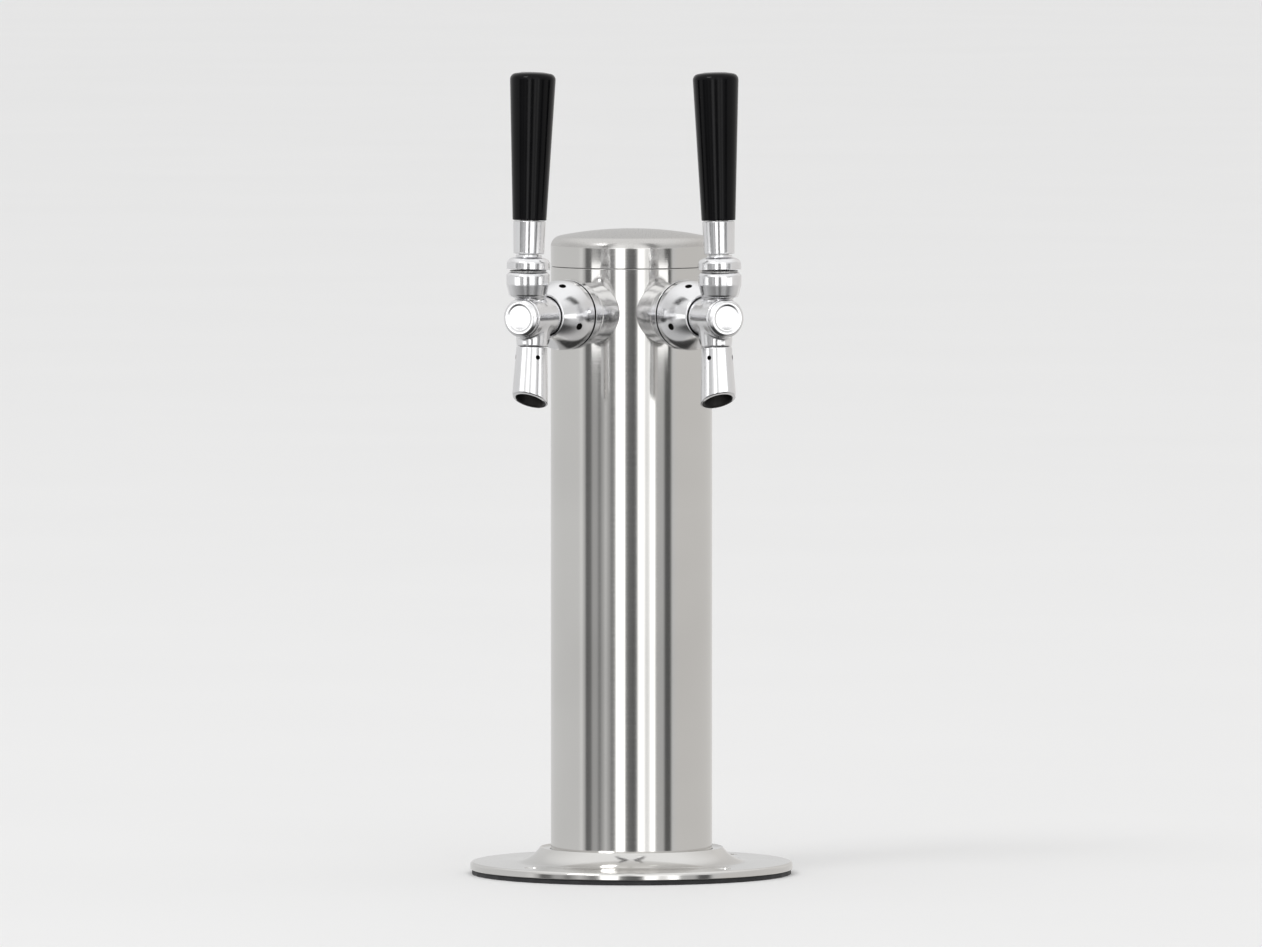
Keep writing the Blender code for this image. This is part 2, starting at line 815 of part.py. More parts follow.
def front_plug():
    recess_end = LEVER_X + PLUNGER_FRONT + 1.2
    return finished(
        along_x(
            turned(
                "plug",
                [
                    (0.0, PLUG_FRONT - 0.5),
                    (PLUG_R - 2.6, PLUG_FRONT - 0.5),
                    (PLUG_R - 2.0, PLUG_FRONT),
                    (PLUG_R - 1.0, PLUG_FRONT),
                    (PLUG_R, PLUG_FRONT - 1.0),
                    (PLUG_R, PLUG_REAR + 0.5),
                    (PLUG_R - 0.5, PLUG_REAR),
                    (PLUG_SOCKET_R - GAP, PLUG_REAR),
                    (PLUG_SOCKET_R - GAP, PLUG_SOCKET_REAR + GAP),
                    (BORE_R, PLUG_SOCKET_REAR + GAP),
                    (BORE_R, recess_end),
                    (0.0, recess_end),
                ],
                MIDDLE,
                closed=False,
            )
        )
    )


def bonnet():
    """The ring that holds the ball down; its height is measured in the faucet's frame."""
    shell_r = BALL_R + SLIDE_GAP
    inside = arc(shell_r, 83.0, 60.0, 2, (0.0, PIVOT_Z))
    top = CUP_TOP + 0.9
    thread_r = SOCKET_R - GAP
    profile = [
        (NECK_R + 3.5, top),
        (thread_r + 0.3, top),
        (thread_r + 0.7, top - 0.3),
        (thread_r + 0.7, CUP_TOP + GAP),
        (thread_r, CUP_TOP + GAP),
        (thread_r, inside[0][1]),
    ]
    return finished(shifted(turned("bonnet", profile + inside, MIDDLE), x=LEVER_X))


def ball_seat():
    floor = SOCKET_FLOOR + GAP
    outer_r = SOCKET_R - GAP
    profile = [(6.9, floor + 3.0), (outer_r, floor + 3.0), (outer_r, floor), (5.4, floor)]
    return finished(shifted(turned("seat", profile, SMALL), x=LEVER_X))


# ---------------------------------------------------------------------------- the lever


def lever():
    """Stud, neck, ball, tail and tip, turned in one piece round the pivot."""
    neck_meets = degrees(asin(NECK_R / BALL_R))
    tail_meets = degrees(asin(TAIL_R / BALL_R))
    tip_meets = degrees(asin(TAIL_R / TIP_R))
    ball = arc(BALL_R, neck_meets, 180 - tail_meets, 6)
    tip = arc(TIP_R, tip_meets, 180, 3, (0.0, -TIP_DROP))
    profile = [
        (0.0, STUD_TOP),
        (STUD_R - 0.5, STUD_TOP),
        (STUD_R, STUD_TOP - 0.5),
        (STUD_R, STUD_BOTTOM),
        (NECK_R, STUD_BOTTOM - 1.4),
    ]
    return finished(turned("lever", profile + ball + tip, SMALL, closed=False))


def lever_collar():
    """The cap that covers the ball's socket and swings over it with the lever."""
    crown_z = COLLAR_CROWN_R * cos(asin(STUD_HOLE_R / COLLAR_CROWN_R))
    shell = arc(COLLAR_SHELL_R, 61.0, 44.0, 2)
    shell += [(STUD_HOLE_R + 1.6, crown_z - 0.2), (STUD_HOLE_R, crown_z)]
    profile = [
        (STUD_HOLE_R, FERRULE_BOTTOM - SLIDE_GAP),
        (STUD_HOLE_R + 1.0, FERRULE_BOTTOM - SLIDE_GAP),
        (STUD_HOLE_R + 1.2, FERRULE_BOTTOM - 1.5),
        (CUP_R - 2.9, FERRULE_BOTTOM - 1.7),
        (CUP_R - 1.0, FERRULE_BOTTOM - 2.5),
        (CUP_R, FERRULE_BOTTOM - 4.0),
        (CUP_R, COLLAR_BOTTOM),
    ]
    return finished(turned("collar", profile + shell, MIDDLE))


def handle_ferrule():
    bottom_r = FERRULE_R - 0.45
    return finished(
        turned(
            "ferrule",
            [
                (STUD_HOLE_R, FERRULE_TOP),
                (FERRULE_R - 0.4, FERRULE_TOP),
                (FERRULE_R, FERRULE_TOP - 0.4),
                (bottom_r, FERRULE_BOTTOM + 0.5),
                (bottom_r - 0.5, FERRULE_BOTTOM),
                (STUD_HOLE_R, FERRULE_BOTTOM),
            ],
            SMALL,
        )
    )


def tap_handle():
    edge_r = 3.0
    hole_top = STUD_TOP + 1.0
    edge = arc(edge_r, 20.0, 92.0, 3, (HANDLE_TOP_R - edge_r, HANDLE_TOP - edge_r - 0.6))
    profile = [(0.0, HANDLE_TOP)] + edge
    profile += [
        (HANDLE_BOTTOM_R, HANDLE_BOTTOM + 0.7),
        (HANDLE_BOTTOM_R - 0.6, HANDLE_BOTTOM),
        (STUD_HOLE_R, HANDLE_BOTTOM),
        (STUD_HOLE_R, hole_top),
        (0.0, hole_top),
    ]
    return finished(turned("handle", profile, MIDDLE, closed=False))


# ---------------------------------------------------------------------------- the plunger


def plunger():
    rod = along_x(
        turned(
            "rod",
            [
                (0.0, PLUNGER_FRONT),
                (PLUNGER_R - 0.6, PLUNGER_FRONT),
                (PLUNGER_R, PLUNGER_FRONT - 0.6),
                (PLUNGER_R, PLUNGER_WAIST),
                (STEM_R, PLUNGER_WAIST - 1.5),
                (STEM_R, STEM_REAR),
                (THREAD_R, STEM_REAR),
                (THREAD_R, THREAD_REAR),
                (0.0, THREAD_REAR),
            ],
            SMALL,
            closed=False,
        )
    )
    tip_x = TIP_DROP * sin(radians(-LEVER_LEAN))
    wide = TIP_R + 0.4
    pocket = block("tip_pocket", (tip_x - 2.8, -wide, 0.0), (tip_x + 3.0, wide, PLUNGER_R + 2))
    rear = PLUNGER_WAIST - 2
    front = PLUNGER_FRONT + 1
    left = block("left_flat", (rear, PLUNGER_FLAT, -6.0), (front, PLUNGER_R + 1, 6.0))
    right = block("right_flat", (rear, -PLUNGER_R - 1, -6.0), (front, -PLUNGER_FLAT, 6.0))
    return finished(combine(rod, "DIFFERENCE", pocket, left, right))


def seat_washer():
    front = STEM_REAR - GAP
    rear = front - SEAT_WASHER_THICK
    inner_r = THREAD_R + GAP
    profile = [(inner_r, front), (SEAT_WASHER_R, front), (SEAT_WASHER_R, rear), (inner_r, rear)]
    return finished(along_x(turned("seat_disc", profile, MIDDLE)))


def washer_nut():
    front = STEM_REAR - SEAT_WASHER_THICK - 2 * GAP
    return finished(hexagon("small_nut", WASHER_NUT_FLATS, front - WASHER_NUT_THICK, front, THREAD_R + GAP))


# ---------------------------------------------------------------------------- assembly

SIDES = (
    {"name": "left", "turn": radians(-90 - SPREAD), "inward": 1.0},
    {"name": "right", "turn": radians(-90 + SPREAD), "inward": -1.0},
)

COLUMN_PIECES = (
    ("base_gasket", base_gasket, "rubber"),
    ("base_flange", base_flange, "polished_steel"),
    ("column_tube", column_tube, "polished_steel"),
    ("insulation_sleeve", insulation_sleeve, "foam"),
    ("column_cap", column_cap, "satin_steel"),
    ("cap_ring", cap_ring, "rubber"),
)

FIXED_PIECES = (
    ("tail_elbow", tail_elbow, "turned_steel"),
    ("shank_locknut", shank_locknut, "brass"),
    ("saddle_washer", saddle_washer, "nylon"),
    ("shank", shank, "turned_steel"),
    ("shank_escutcheon", shank_escutcheon, "chrome"),
    ("coupling_nut", coupling_nut, "chrome"),
    ("coupling_washer", coupling_washer, "rubber"),
    ("snap_ring", snap_ring, "turned_steel"),
    ("faucet_body", faucet_body, "chrome"),
    ("spout", spout, "chrome"),
    ("front_plug", front_plug, "chrome"),
    ("ball_seat", ball_seat, "nylon"),
    ("bonnet", bonnet, "turned_steel"),
)

LEVER_PIECES = (
    ("lever", lever, "turned_steel"),
    ("lever_collar", lever_collar, "chrome"),
    ("handle_ferrule", handle_ferrule, "chrome"),
    ("tap_handle", tap_handle, "black_handle"),
)

PLUNGER_PIECES = (
    ("plunger", plunger, "turned_steel"),
    ("seat_washer", seat_washer, "rubber"),
    ("washer_nut", washer_nut, "turned_steel"),
)


def new_empty(name, parent=None, place=(0.0, 0.0, 0.0), turn=(0.0, 0.0, 0.0)):
    empty = linked(name, None, parts)
    empty.empty_display_size = 0.02
    empty.parent = parent
    empty.location = Vector(place) * MM
    empty.rotation_euler = turn
    return empty


def placed(name, mesh, material, parent=None):
    obj = linked(name, mesh, parts)
    if not mesh.materials:
        mesh.materials.append(material)
    obj.parent = parent
    return obj


def build_column(tower, materials):
    for name, make, slot in COLUMN_PIECES:
        placed(name, make(), materials[slot], tower)


def build_faucets(tower, materials):
    """Makes each faucet piece once and places it on both sides."""
    anchors = []
    for side in SIDES:
        name = side["name"]
        turn = (0.0, 0.0, side["turn"])
        faucet = new_empty(name + "_faucet", tower, (0.0, 0.0, SHANK_Z), turn)
        pivot_turn = (0.0, radians(LEVER_LEAN), 0.0)
        pivot = new_empty(name + "_lever_pivot", faucet, (LEVER_X, 0.0, PIVOT_Z), pivot_turn)
        slide = new_empty(name + "_plunger_slide", faucet, (LEVER_X, 0.0, 0.0))
        anchors.append((side, (faucet, pivot, slide)))
    for kind, pieces in enumerate((FIXED_PIECES, LEVER_PIECES, PLUNGER_PIECES)):
        for piece, make, slot in pieces:
            mesh = make()
            for side, parents in anchors:
                obj = placed(f"{side['name']}_{piece}", mesh, materials[slot], parents[kind])
                if piece == "coupling_nut":
                    obj.rotation_euler = (-side["inward"] * radians(SPANNER_HOLE_TURN), 0.0, 0.0)


def hide_cutters():
    for obj in cutters.objects:
        obj.hide_render = True
        obj.display_type = "WIRE"
    cutters.hide_render = True


clear_scene()
parts = new_collection("beer_tap_tower")
cutters = new_collection("beer_tap_tower_cutters")
all_materials = {name: new_material(name) for name in MATERIALS}
tower_axis = new_empty("tower_axis", place=(0.0, SET_BACK, 0.0))
build_column(tower_axis, all_materials)
build_faucets(tower_axis, all_materials)
hide_cutters()
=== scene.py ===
"""The looks of a two-faucet beer tap tower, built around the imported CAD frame.

Profiles are in millimetres and MM turns them into metres. The column's and the faucets' frames
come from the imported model: the column's axis and radius from its tube, the shanks' height from
the shanks, and each faucet's direction from its lever's pivot. Every turned piece is modelled in
the frame of its own axis, and the left and the right faucet share their meshes.
"""

import json
from math import asin, atan2, ceil, cos, degrees, hypot, pi, radians, sin, tan

import bmesh
import bpy
import numpy as np
from mathutils import Matrix, Vector


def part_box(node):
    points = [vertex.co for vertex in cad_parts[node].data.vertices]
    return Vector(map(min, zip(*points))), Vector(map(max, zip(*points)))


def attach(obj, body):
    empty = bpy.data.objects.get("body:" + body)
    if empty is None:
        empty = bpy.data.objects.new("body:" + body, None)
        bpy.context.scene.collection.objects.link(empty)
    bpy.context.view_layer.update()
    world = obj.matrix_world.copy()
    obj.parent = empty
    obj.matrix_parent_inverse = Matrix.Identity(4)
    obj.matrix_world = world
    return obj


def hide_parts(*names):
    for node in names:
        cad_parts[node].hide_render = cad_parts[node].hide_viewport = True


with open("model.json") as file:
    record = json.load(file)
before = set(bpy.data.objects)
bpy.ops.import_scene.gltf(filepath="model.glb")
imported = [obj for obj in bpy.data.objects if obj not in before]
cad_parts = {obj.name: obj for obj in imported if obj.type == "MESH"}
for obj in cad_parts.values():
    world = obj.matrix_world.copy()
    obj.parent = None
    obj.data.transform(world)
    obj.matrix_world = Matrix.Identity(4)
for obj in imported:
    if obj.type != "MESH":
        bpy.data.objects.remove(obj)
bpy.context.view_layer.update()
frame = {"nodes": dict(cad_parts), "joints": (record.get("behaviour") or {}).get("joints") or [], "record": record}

MM = 0.001
record = frame["record"]
joints = {joint["name"]: joint for joint in frame["joints"]}


def span(node):
    """A node's middle and its size, in millimetres."""
    low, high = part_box(node)
    return (low + high) / 2 / MM, (high - low) / MM


tube_middle, tube_size = span("column_tube")
flange_middle, flange_size = span("base_flange")
cap_middle, cap_size = span("column_cap")
shank_middle, _ = span("left_shank")

COLUMN_R = tube_size.x / 2
TUBE_BOTTOM = tube_middle.z - tube_size.z / 2
TUBE_TOP = tube_middle.z + tube_size.z / 2
FLANGE_R = flange_size.x / 2
FLANGE_BOTTOM = flange_middle.z - flange_size.z / 2
CAP_TOP = cap_middle.z + cap_size.z / 2
CAP_RIM = CAP_TOP - 8.5
SHANK_Z = shank_middle.z
AXIS = Vector((tube_middle.x, tube_middle.y, 0.0))
COLUMN = Matrix.Translation(AXIS * MM)

# The faucet's sizes, measured in its own frame: X runs out along the shank and Z is up.
pivot = Vector(joints["left_lever_pull"]["pos_m"]) / MM
LEVER_X = hypot(pivot.x - AXIS.x, pivot.y - AXIS.y)
PIVOT_Z = pivot.z - SHANK_Z
GAP = 0.3
LEVER_LEAN = -2.7
BODY_REAR = 68.3
BODY_FRONT = LEVER_X + 5.2
PLUG_REAR = BODY_FRONT + GAP
PLUG_FRONT = LEVER_X + 8.1
PLUG_SOCKET_REAR = LEVER_X + 2.2
PLUG_R = 9.0
CUP_R = 10.1
CUP_TOP = 21.3
SHOULDER_X = LEVER_X - 2.2
SPOUT_TOP = (LEVER_X - 3.4, -14.0)
SPOUT_LEAN = 4.1
SPOUT_TOP_R = 7.2
SPOUT_MOUTH_R = 8.4
SPOUT_WALL = 2.0
MOUTH_Z = -24.95
MOUTH_SLOPE = tan(radians(27.0 - SPOUT_LEAN))
NUT_FRONT = 80.5
NUT_SHOULDER = 65.0
NUT_REAR = 55.6
NUT_R = 16.5
NUT_TURN = 19.0
SPANNER_HOLE_R = 1.7
ESCUTCHEON_FRONT = 55.3
ESCUTCHEON_R = 15.2
ESCUTCHEON_WAIST_R = 14.4
BORE_R = 5.2
WEB_X = 87.5
RIB_X = 88.5

# The lever's and its fittings' sizes, with heights above its pivot.
BALL_R = 6.5
NECK_R = 2.8
TAIL_R = 1.6
TIP_R = 1.9
TIP_DROP = 13.5
STUD_R = 4.6
STUD_TOP = 33.0
STUD_HOLE_R = 4.9
COLLAR_SHELL_R = 11.3
COLLAR_CROWN_R = 10.3
FERRULE_BOTTOM = 12.7
FERRULE_TOP = 28.1
HANDLE_BOTTOM = 28.4
HANDLE_TOP = 97.7

# The key light's place and target in metres, its sides in metres and its power in watts.
KEY_LIGHT = (-4.0, -4.5, 6.5)
KEY_TARGET = (0, 0, 0.2)
KEY_SIZE = (2.6, 2.6)
KEY_POWER = 120.0


# ---------------------------------------------------------------------------- mesh tools


def rounded(points, radius=0.25, steps=3, hold=0.12, closed=True):
    """The profile with its corners rounded, and with points close to each rounding that keep its
    shading off the straight runs. A point may carry its own radius as a third number."""
    count = len(points)
    result = []
    for i, point in enumerate(points):
        here = Vector(point[:2])
        corner_r = point[2] if len(point) > 2 else radius
        if not closed and i in (0, count - 1):
            result.append(here)
            continue
        before = Vector(points[i - 1][:2])
        after = Vector(points[(i + 1) % count][:2])
        back = before - here
        ahead = after - here
        room = 0.42 * min(back.length, ahead.length)
        back.normalize()
        ahead.normalize()
        bend = pi - back.angle(ahead)
        if corner_r == 0 or bend < 0.02:
            result.append(here)
            continue
        reach = min(corner_r * tan(bend / 2), room)
        actual_r = reach / tan(bend / 2)
        centre = here + (back + ahead).normalized() * actual_r / cos(bend / 2)
        first = here + back * reach
        last = here + ahead * reach
        if (before - first).length > 4 * hold:
            result.append(first + back * hold)
        turns = max(2, ceil(steps * bend / (pi / 2)))
        start = first - centre
        end = last - centre
        for k in range(turns + 1):
            share = k / turns
            mix = start * (1 - share) + end * share
            result.append(centre + mix.normalized() * actual_r)
        if (after - last).length > 4 * hold:
            result.append(last + ahead * hold)
    return [(p.x, p.y) for p in result]


def arc(radius, start, end, count, centre=(0.0, 0.0)):
    """Points of (radius, height) along an arc; the angles run from +height towards +radius."""
    angles = [radians(start + (end - start) * i / count) for i in range(count + 1)]
    return [(centre[0] + radius * sin(a), centre[1] + radius * cos(a)) for a in angles]


def tidied(mesh):
    shell = bmesh.new()
    shell.from_mesh(mesh)
    bmesh.ops.remove_doubles(shell, verts=shell.verts, dist=0.000001)
    bmesh.ops.recalc_face_normals(shell, faces=shell.faces)
    shell.to_mesh(mesh)
    shell.free()
    return mesh


def lathe(name, profile, segments, closed=True):
    """A mesh turned round Z from (radius, height) points; an open profile ends on the axis."""
    verts = []
    rings = []
    for radius, height in profile:
        if radius < 0.0005:
            rings.append([len(verts)] * segments)
            verts.append((0.0, 0.0, height * MM))
            continue
        rings.append(list(range(len(verts), len(verts) + segments)))
        for k in range(segments):
            angle = 2 * pi * k / segments
            verts.append((radius * cos(angle) * MM, radius * sin(angle) * MM, height * MM))
    faces = []
    pairs = list(zip(rings, rings[1:]))
    if closed:
        pairs.append((rings[-1], rings[0]))
    for upper, lower in pairs:
        for k in range(segments):
            n = (k + 1) % segments
            face = [upper[k], upper[n], lower[n], lower[k]]
            face = list(dict.fromkeys(face))
            if len(face) > 2:
                faces.append(face)
    mesh = bpy.data.meshes.new(name)
    mesh.from_pydata(verts, [], faces)
    return tidied(mesh)


def bar(name, radius, start, end, segments=48):
    """A round cutter between two points."""
    start = Vector(start)
    end = Vector(end)
    length = (end - start).length
    profile = [(0.0, length), (radius, length), (radius, 0.0), (0.0, 0.0)]
    mesh = lathe(name, profile, segments, False)
    turn = (end - start).to_track_quat("Z", "X").to_matrix().to_4x4()
    mesh.transform(Matrix.Translation(start * MM) @ turn)
    return mesh


def cut(mesh, *cutters, operation="DIFFERENCE"):
    """The mesh less each cutter."""
    body = bpy.data.objects.new(mesh.name, mesh)
    bpy.context.scene.collection.objects.link(body)
    helpers = [body]
    for cutter in cutters:
        helper = bpy.data.objects.new(cutter.name, cutter)
        bpy.context.scene.collection.objects.link(helper)
        helpers.append(helper)
        change = body.modifiers.new("cut", "BOOLEAN")
        change.operation = operation
        change.object = helper
        change.solver = "EXACT"
    bpy.context.view_layer.update()
    graph = bpy.context.evaluated_depsgraph_get()
    result = bpy.data.meshes.new_from_object(body.evaluated_get(graph))
    for helper in helpers:
        bpy.data.objects.remove(helper, do_unlink=True)
    return tidied(result)


def lying(mesh):
    """Turns an upright mesh so that its height runs along +X."""
    mesh.transform(Matrix.Rotation(pi / 2, 4, "Y"))
    return mesh


def net(name, field, low, high, step):
    """A closed mesh of the surface where the field, in millimetres, is zero. Each cell that the
    surface crosses gets one corner, which is then drawn onto the surface."""
    counts = [int(ceil((b - a) / step)) + 1 for a, b in zip(low, high)]
    axes = [a + step * np.arange(n) for a, n in zip(low, counts)]
    inside = field(*np.meshgrid(*axes, indexing="ij")) < 0
    total = np.zeros([n - 1 for n in counts], int)
    for i in (0, 1):
        for j in (0, 1):
            for k in (0, 1):
                total += inside[i : counts[0] - 1 + i, j : counts[1] - 1 + j, k : counts[2] - 1 + k]
    mixed = (total > 0) & (total < 8)
    index = np.full(mixed.shape, -1)
    index[mixed] = np.arange(mixed.sum())
    points = np.argwhere(mixed) * step + np.array(low) + step / 2
    for _ in range(8):
        value = field(*points.T)
        slope = np.empty_like(points)
        for axis in range(3):
            nudge = np.zeros(3)
            nudge[axis] = 0.02
            slope[:, axis] = (field(*(points + nudge).T) - field(*(points - nudge).T)) / 0.04
        move = slope * (value / np.maximum((slope**2).sum(1), 0.05))[:, None]
        size = np.linalg.norm(move, axis=1, keepdims=True)
        points -= move * np.minimum(1.0, 0.5 * step / np.maximum(size, 1e-9))
    faces = []
    for axis in range(3):
        first, second = [a for a in range(3) if a != axis]
        ahead = [slice(None)] * 3
        behind = [slice(None)] * 3
        ahead[axis] = slice(1, None)
        behind[axis] = slice(None, -1)
        crossing = np.argwhere(inside[tuple(ahead)] != inside[tuple(behind)])
        outward = inside[tuple(behind)][tuple(crossing.T)]
        corners = []
        for a, b in ((0, 0), (1, 0), (1, 1), (0, 1)):
            cell = crossing.copy()
            cell[:, first] -= a
            cell[:, second] -= b
            corners.append(index[tuple(cell.T)])
        quads = np.stack(corners, 1)
        flip = outward if axis != 1 else ~outward
        quads[flip] = quads[flip][:, ::-1]
        faces.append(quads)
    mesh = bpy.data.meshes.new(name)
    mesh.from_pydata([tuple(p) for p in points * MM], [], np.concatenate(faces).tolist())
    return tidied(mesh)


def smooth(mesh, angle=35.0):
    mesh.shade_smooth()
    mesh.set_sharp_from_angle(angle=radians(angle))
    return mesh


# ---------------------------------------------------------------------------- materials


def speckle(tree, place, scale, detail=3.0):
    """A noise on the object's own coordinates, stretched by a scale along each axis."""
    mapping = tree.nodes.new("ShaderNodeMapping")
    mapping.inputs["Scale"].default_value = scale
    tree.links.new(place.outputs["Object"], mapping.inputs["Vector"])
    noise = tree.nodes.new("ShaderNodeTexNoise")
    noise.inputs["Scale"].default_value = 1.0
    noise.inputs["Detail"].default_value = detail
    tree.links.new(mapping.outputs["Vector"], noise.inputs["Vector"])
    return noise.outputs["Fac"]


def ranged(tree, value, low, high, start=0.3, end=0.7):
    """Maps a noise's middle range onto low to high."""
    change = tree.nodes.new("ShaderNodeMapRange")
    change.inputs["From Min"].default_value = start
    change.inputs["From Max"].default_value = end
    change.inputs["To Min"].default_value = low
    change.inputs["To Max"].default_value = high
    tree.links.new(value, change.inputs["Value"])
    return change.outputs["Result"]


def tinted(tree, value, dark, light):
    """A colour between two that follows a noise."""
    mix = tree.nodes.new("ShaderNodeMix")
    mix.data_type = "RGBA"
    mix.inputs["A"].default_value = (*dark, 1.0)
    mix.inputs["B"].default_value = (*light, 1.0)
    tree.links.new(ranged(tree, value, 0.0, 1.0), mix.inputs["Factor"])
    return mix.outputs["Result"]


def raised(tree, value, strength, distance, below=None):
    """A bump from a height."""
    bump = tree.nodes.new("ShaderNodeBump")
    bump.inputs["Strength"].default_value = strength
    bump.inputs["Distance"].default_value = distance
    tree.links.new(value, bump.inputs["Height"])
    if below is not None:
        tree.links.new(below, bump.inputs["Normal"])
    return bump.outputs["Normal"]


def new_material(name, dark, light, rough, metallic, grain, blotch, bump, wave=None, **sockets):
    """A material whose colour varies with large blotches and whose roughness and relief follow a
    finer grain; wave adds a soft, larger relief, as on a polished casting."""
    material = bpy.data.materials.new(name)
    material.use_nodes = True
    tree = material.node_tree
    shader = tree.nodes["Principled BSDF"]
    shader.inputs["Metallic"].default_value = metallic
    for key, value in sockets.items():
        shader.inputs[key.replace("_", " ")].default_value = value
    place = tree.nodes.new("ShaderNodeTexCoord")
    fine = speckle(tree, place, grain)
    broad = speckle(tree, place, blotch, 2.0)
    tree.links.new(tinted(tree, broad, dark, light), shader.inputs["Base Color"])
    tree.links.new(ranged(tree, fine, *rough), shader.inputs["Roughness"])
    normal = raised(tree, fine, *bump)
    if wave is not None:
        scale, strength, distance = wave
        normal = raised(tree, speckle(tree, place, (scale,) * 3, 1.0), strength, distance, normal)
    tree.links.new(normal, shader.inputs["Normal"])
    material.diffuse_color = (*light, 1.0)
    return material


def around_z(material, amount, rotation=0.25):
    """Stretches the gloss across a grain that runs round the piece's Z axis."""
    tree = material.node_tree
    shader = tree.nodes["Principled BSDF"]
    shader.inputs["Anisotropic"].default_value = amount
    shader.inputs["Anisotropic Rotation"].default_value = rotation
    tangent = tree.nodes.new("ShaderNodeTangent")
    tangent.direction_type = "RADIAL"
    tangent.axis = "Z"
    tree.links.new(tangent.outputs["Tangent"], shader.inputs["Tangent"])
    return material


STEEL_DARK = (0.64, 0.632, 0.615)
STEEL_LIGHT = (0.70, 0.692, 0.675)

looks = {
    "polished_steel": around_z(
        new_material(
            "polished_steel", STEEL_DARK, STEEL_LIGHT, (0.08, 0.14), 1.0,
            (60, 60, 2600), (9, 9, 14), (0.05, 0.00002),
        ),
        0.55,
    ),
    "satin_steel": new_material(
        "satin_steel", (0.58, 0.57, 0.555), (0.61, 0.60, 0.585), (0.26, 0.31), 1.0,
        (2400, 2400, 2400), (20, 20, 20), (0.02, 0.00001),
    ),
    "chrome": new_material(
        "chrome", (0.81, 0.81, 0.82), (0.86, 0.86, 0.87), (0.15, 0.20), 1.0,
        (900, 900, 900), (60, 60, 60), (0.03, 0.00001), wave=(160, 0.08, 0.00006),
    ),
    "turned_steel": new_material(
        "turned_steel", (0.50, 0.50, 0.50), (0.58, 0.58, 0.57), (0.22, 0.34), 1.0,
        (2200, 400, 400), (80, 80, 80), (0.10, 0.00003),
    ),
    "brass": new_material(
        "brass", (0.66, 0.47, 0.20), (0.76, 0.57, 0.28), (0.24, 0.36), 1.0,
        (1400, 500, 500), (90, 90, 90), (0.08, 0.00003),
    ),
    "black_handle": new_material(
        "black_handle", (0.0015, 0.0015, 0.0019), (0.003, 0.003, 0.0036), (0.13, 0.19), 0.0,
        (700, 700, 300), (40, 40, 25), (0.05, 0.00002), IOR=1.24,
    ),
    "rubber": new_material(
        "rubber", (0.016, 0.016, 0.017), (0.028, 0.028, 0.030), (0.60, 0.75), 0.0,
        (2600, 2600, 2600), (120, 120, 120), (0.25, 0.00005),
    ),
    "nylon": new_material(
        "nylon", (0.74, 0.73, 0.67), (0.82, 0.81, 0.76), (0.38, 0.52), 0.0,
        (1200, 1200, 1200), (120, 120, 120), (0.10, 0.00003), Subsurface_Weight=0.1,
    ),
    "foam": new_material(
        "foam", (0.045, 0.045, 0.049), (0.070, 0.070, 0.076), (0.85, 0.95), 0.0,
        (1100, 1100, 1100), (60, 60, 60), (0.6, 0.0002),
    ),
    # Near-black painted shade for the spout's inside, the nut's groove and its spanner holes: it stands in for the
    # shade that falls in these recesses.
    "painted_recess_shade": new_material(
        "painted_recess_shade", (0.010, 0.010, 0.010), (0.030, 0.028, 0.026), (0.45, 0.60), 0.6,
        (900, 900, 900), (150, 150, 150), (0.10, 0.00003),
    ),
}

for entry in record["subparts"]:
    node = frame["nodes"][entry["node"]]
    node.data.materials.clear()
    node.data.materials.append(looks[entry["material_slot"]])
    smooth(node.data, 32.0)


# ---------------------------------------------------------------------------- placing


def place(name, mesh, matrix, body, slot, *nodes):
    """Puts a piece in the row frame on its body, in place of its CAD nodes."""
    if not mesh.materials:
        mesh.materials.append(looks[slot])
    piece = bpy.data.objects.new(name, mesh)
    bpy.context.scene.collection.objects.link(piece)
    piece.matrix_world = matrix
    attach(piece, body)
    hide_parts(*nodes)
    return piece


def side_frames(side):
    """A faucet's frame, with +X out along its shank, and the frames of its spout and lever."""
    pivot = Vector(joints[side + "_lever_pull"]["pos_m"]) / MM
    way = Vector((pivot.x - AXIS.x, pivot.y - AXIS.y, 0.0))
    turn = Matrix.Rotation(atan2(way.y, way.x), 4, "Z")
    faucet = Matrix.Translation(Vector((AXIS.x, AXIS.y, SHANK_Z)) * MM) @ turn
    lean = Matrix.Rotation(radians(LEVER_LEAN), 4, "Y")
    lever = faucet @ Matrix.Translation(Vector((LEVER_X, 0.0, PIVOT_Z)) * MM) @ lean
    return faucet, faucet @ spout_local(), lever


def spout_local():
    move = Matrix.Translation(Vector((SPOUT_TOP[0], 0.0, SPOUT_TOP[1])) * MM)
    return move @ Matrix.Rotation(radians(-SPOUT_LEAN), 4, "Y")


# ---------------------------------------------------------------------------- the column


def flange_mesh():
    collar_r = COLUMN_R + GAP
    plate = 5.8
    top = 12.0
    flare = arc(15.5, 180.0, 236.0, 9, (collar_r + 17.6, plate + 15.5))
    profile = [(collar_r, top, 0.3), (collar_r + 3.2, top, 0.9)]
    profile += [(r, z, 0) for r, z in reversed(flare)]
    profile += [
        (FLANGE_R, plate, 1.4),
        (FLANGE_R, FLANGE_BOTTOM, 0.3),
        (30.0, FLANGE_BOTTOM, 0.3),
        (30.0, plate, 0.3),
        (collar_r, plate, 0),
    ]
    mesh = lathe("flange", rounded(profile), 160)
    holes = []
    for i in range(4):
        angle = pi / 4 + pi / 2 * i
        x, y = 63.5 * cos(angle), 63.5 * sin(angle)
        holes.append(bar(f"flange_hole_{i}", 3.25, (x, y, -1), (x, y, 20), 40))
        sink = lathe(f"flange_sink_{i}", [(0, 1.2), (4.6, 1.2), (3.2, -0.9), (0, -0.9)], 40, False)
        sink.transform(Matrix.Translation(Vector((x, y, plate)) * MM))
        holes.append(sink)
    return smooth(cut(mesh, *holes))


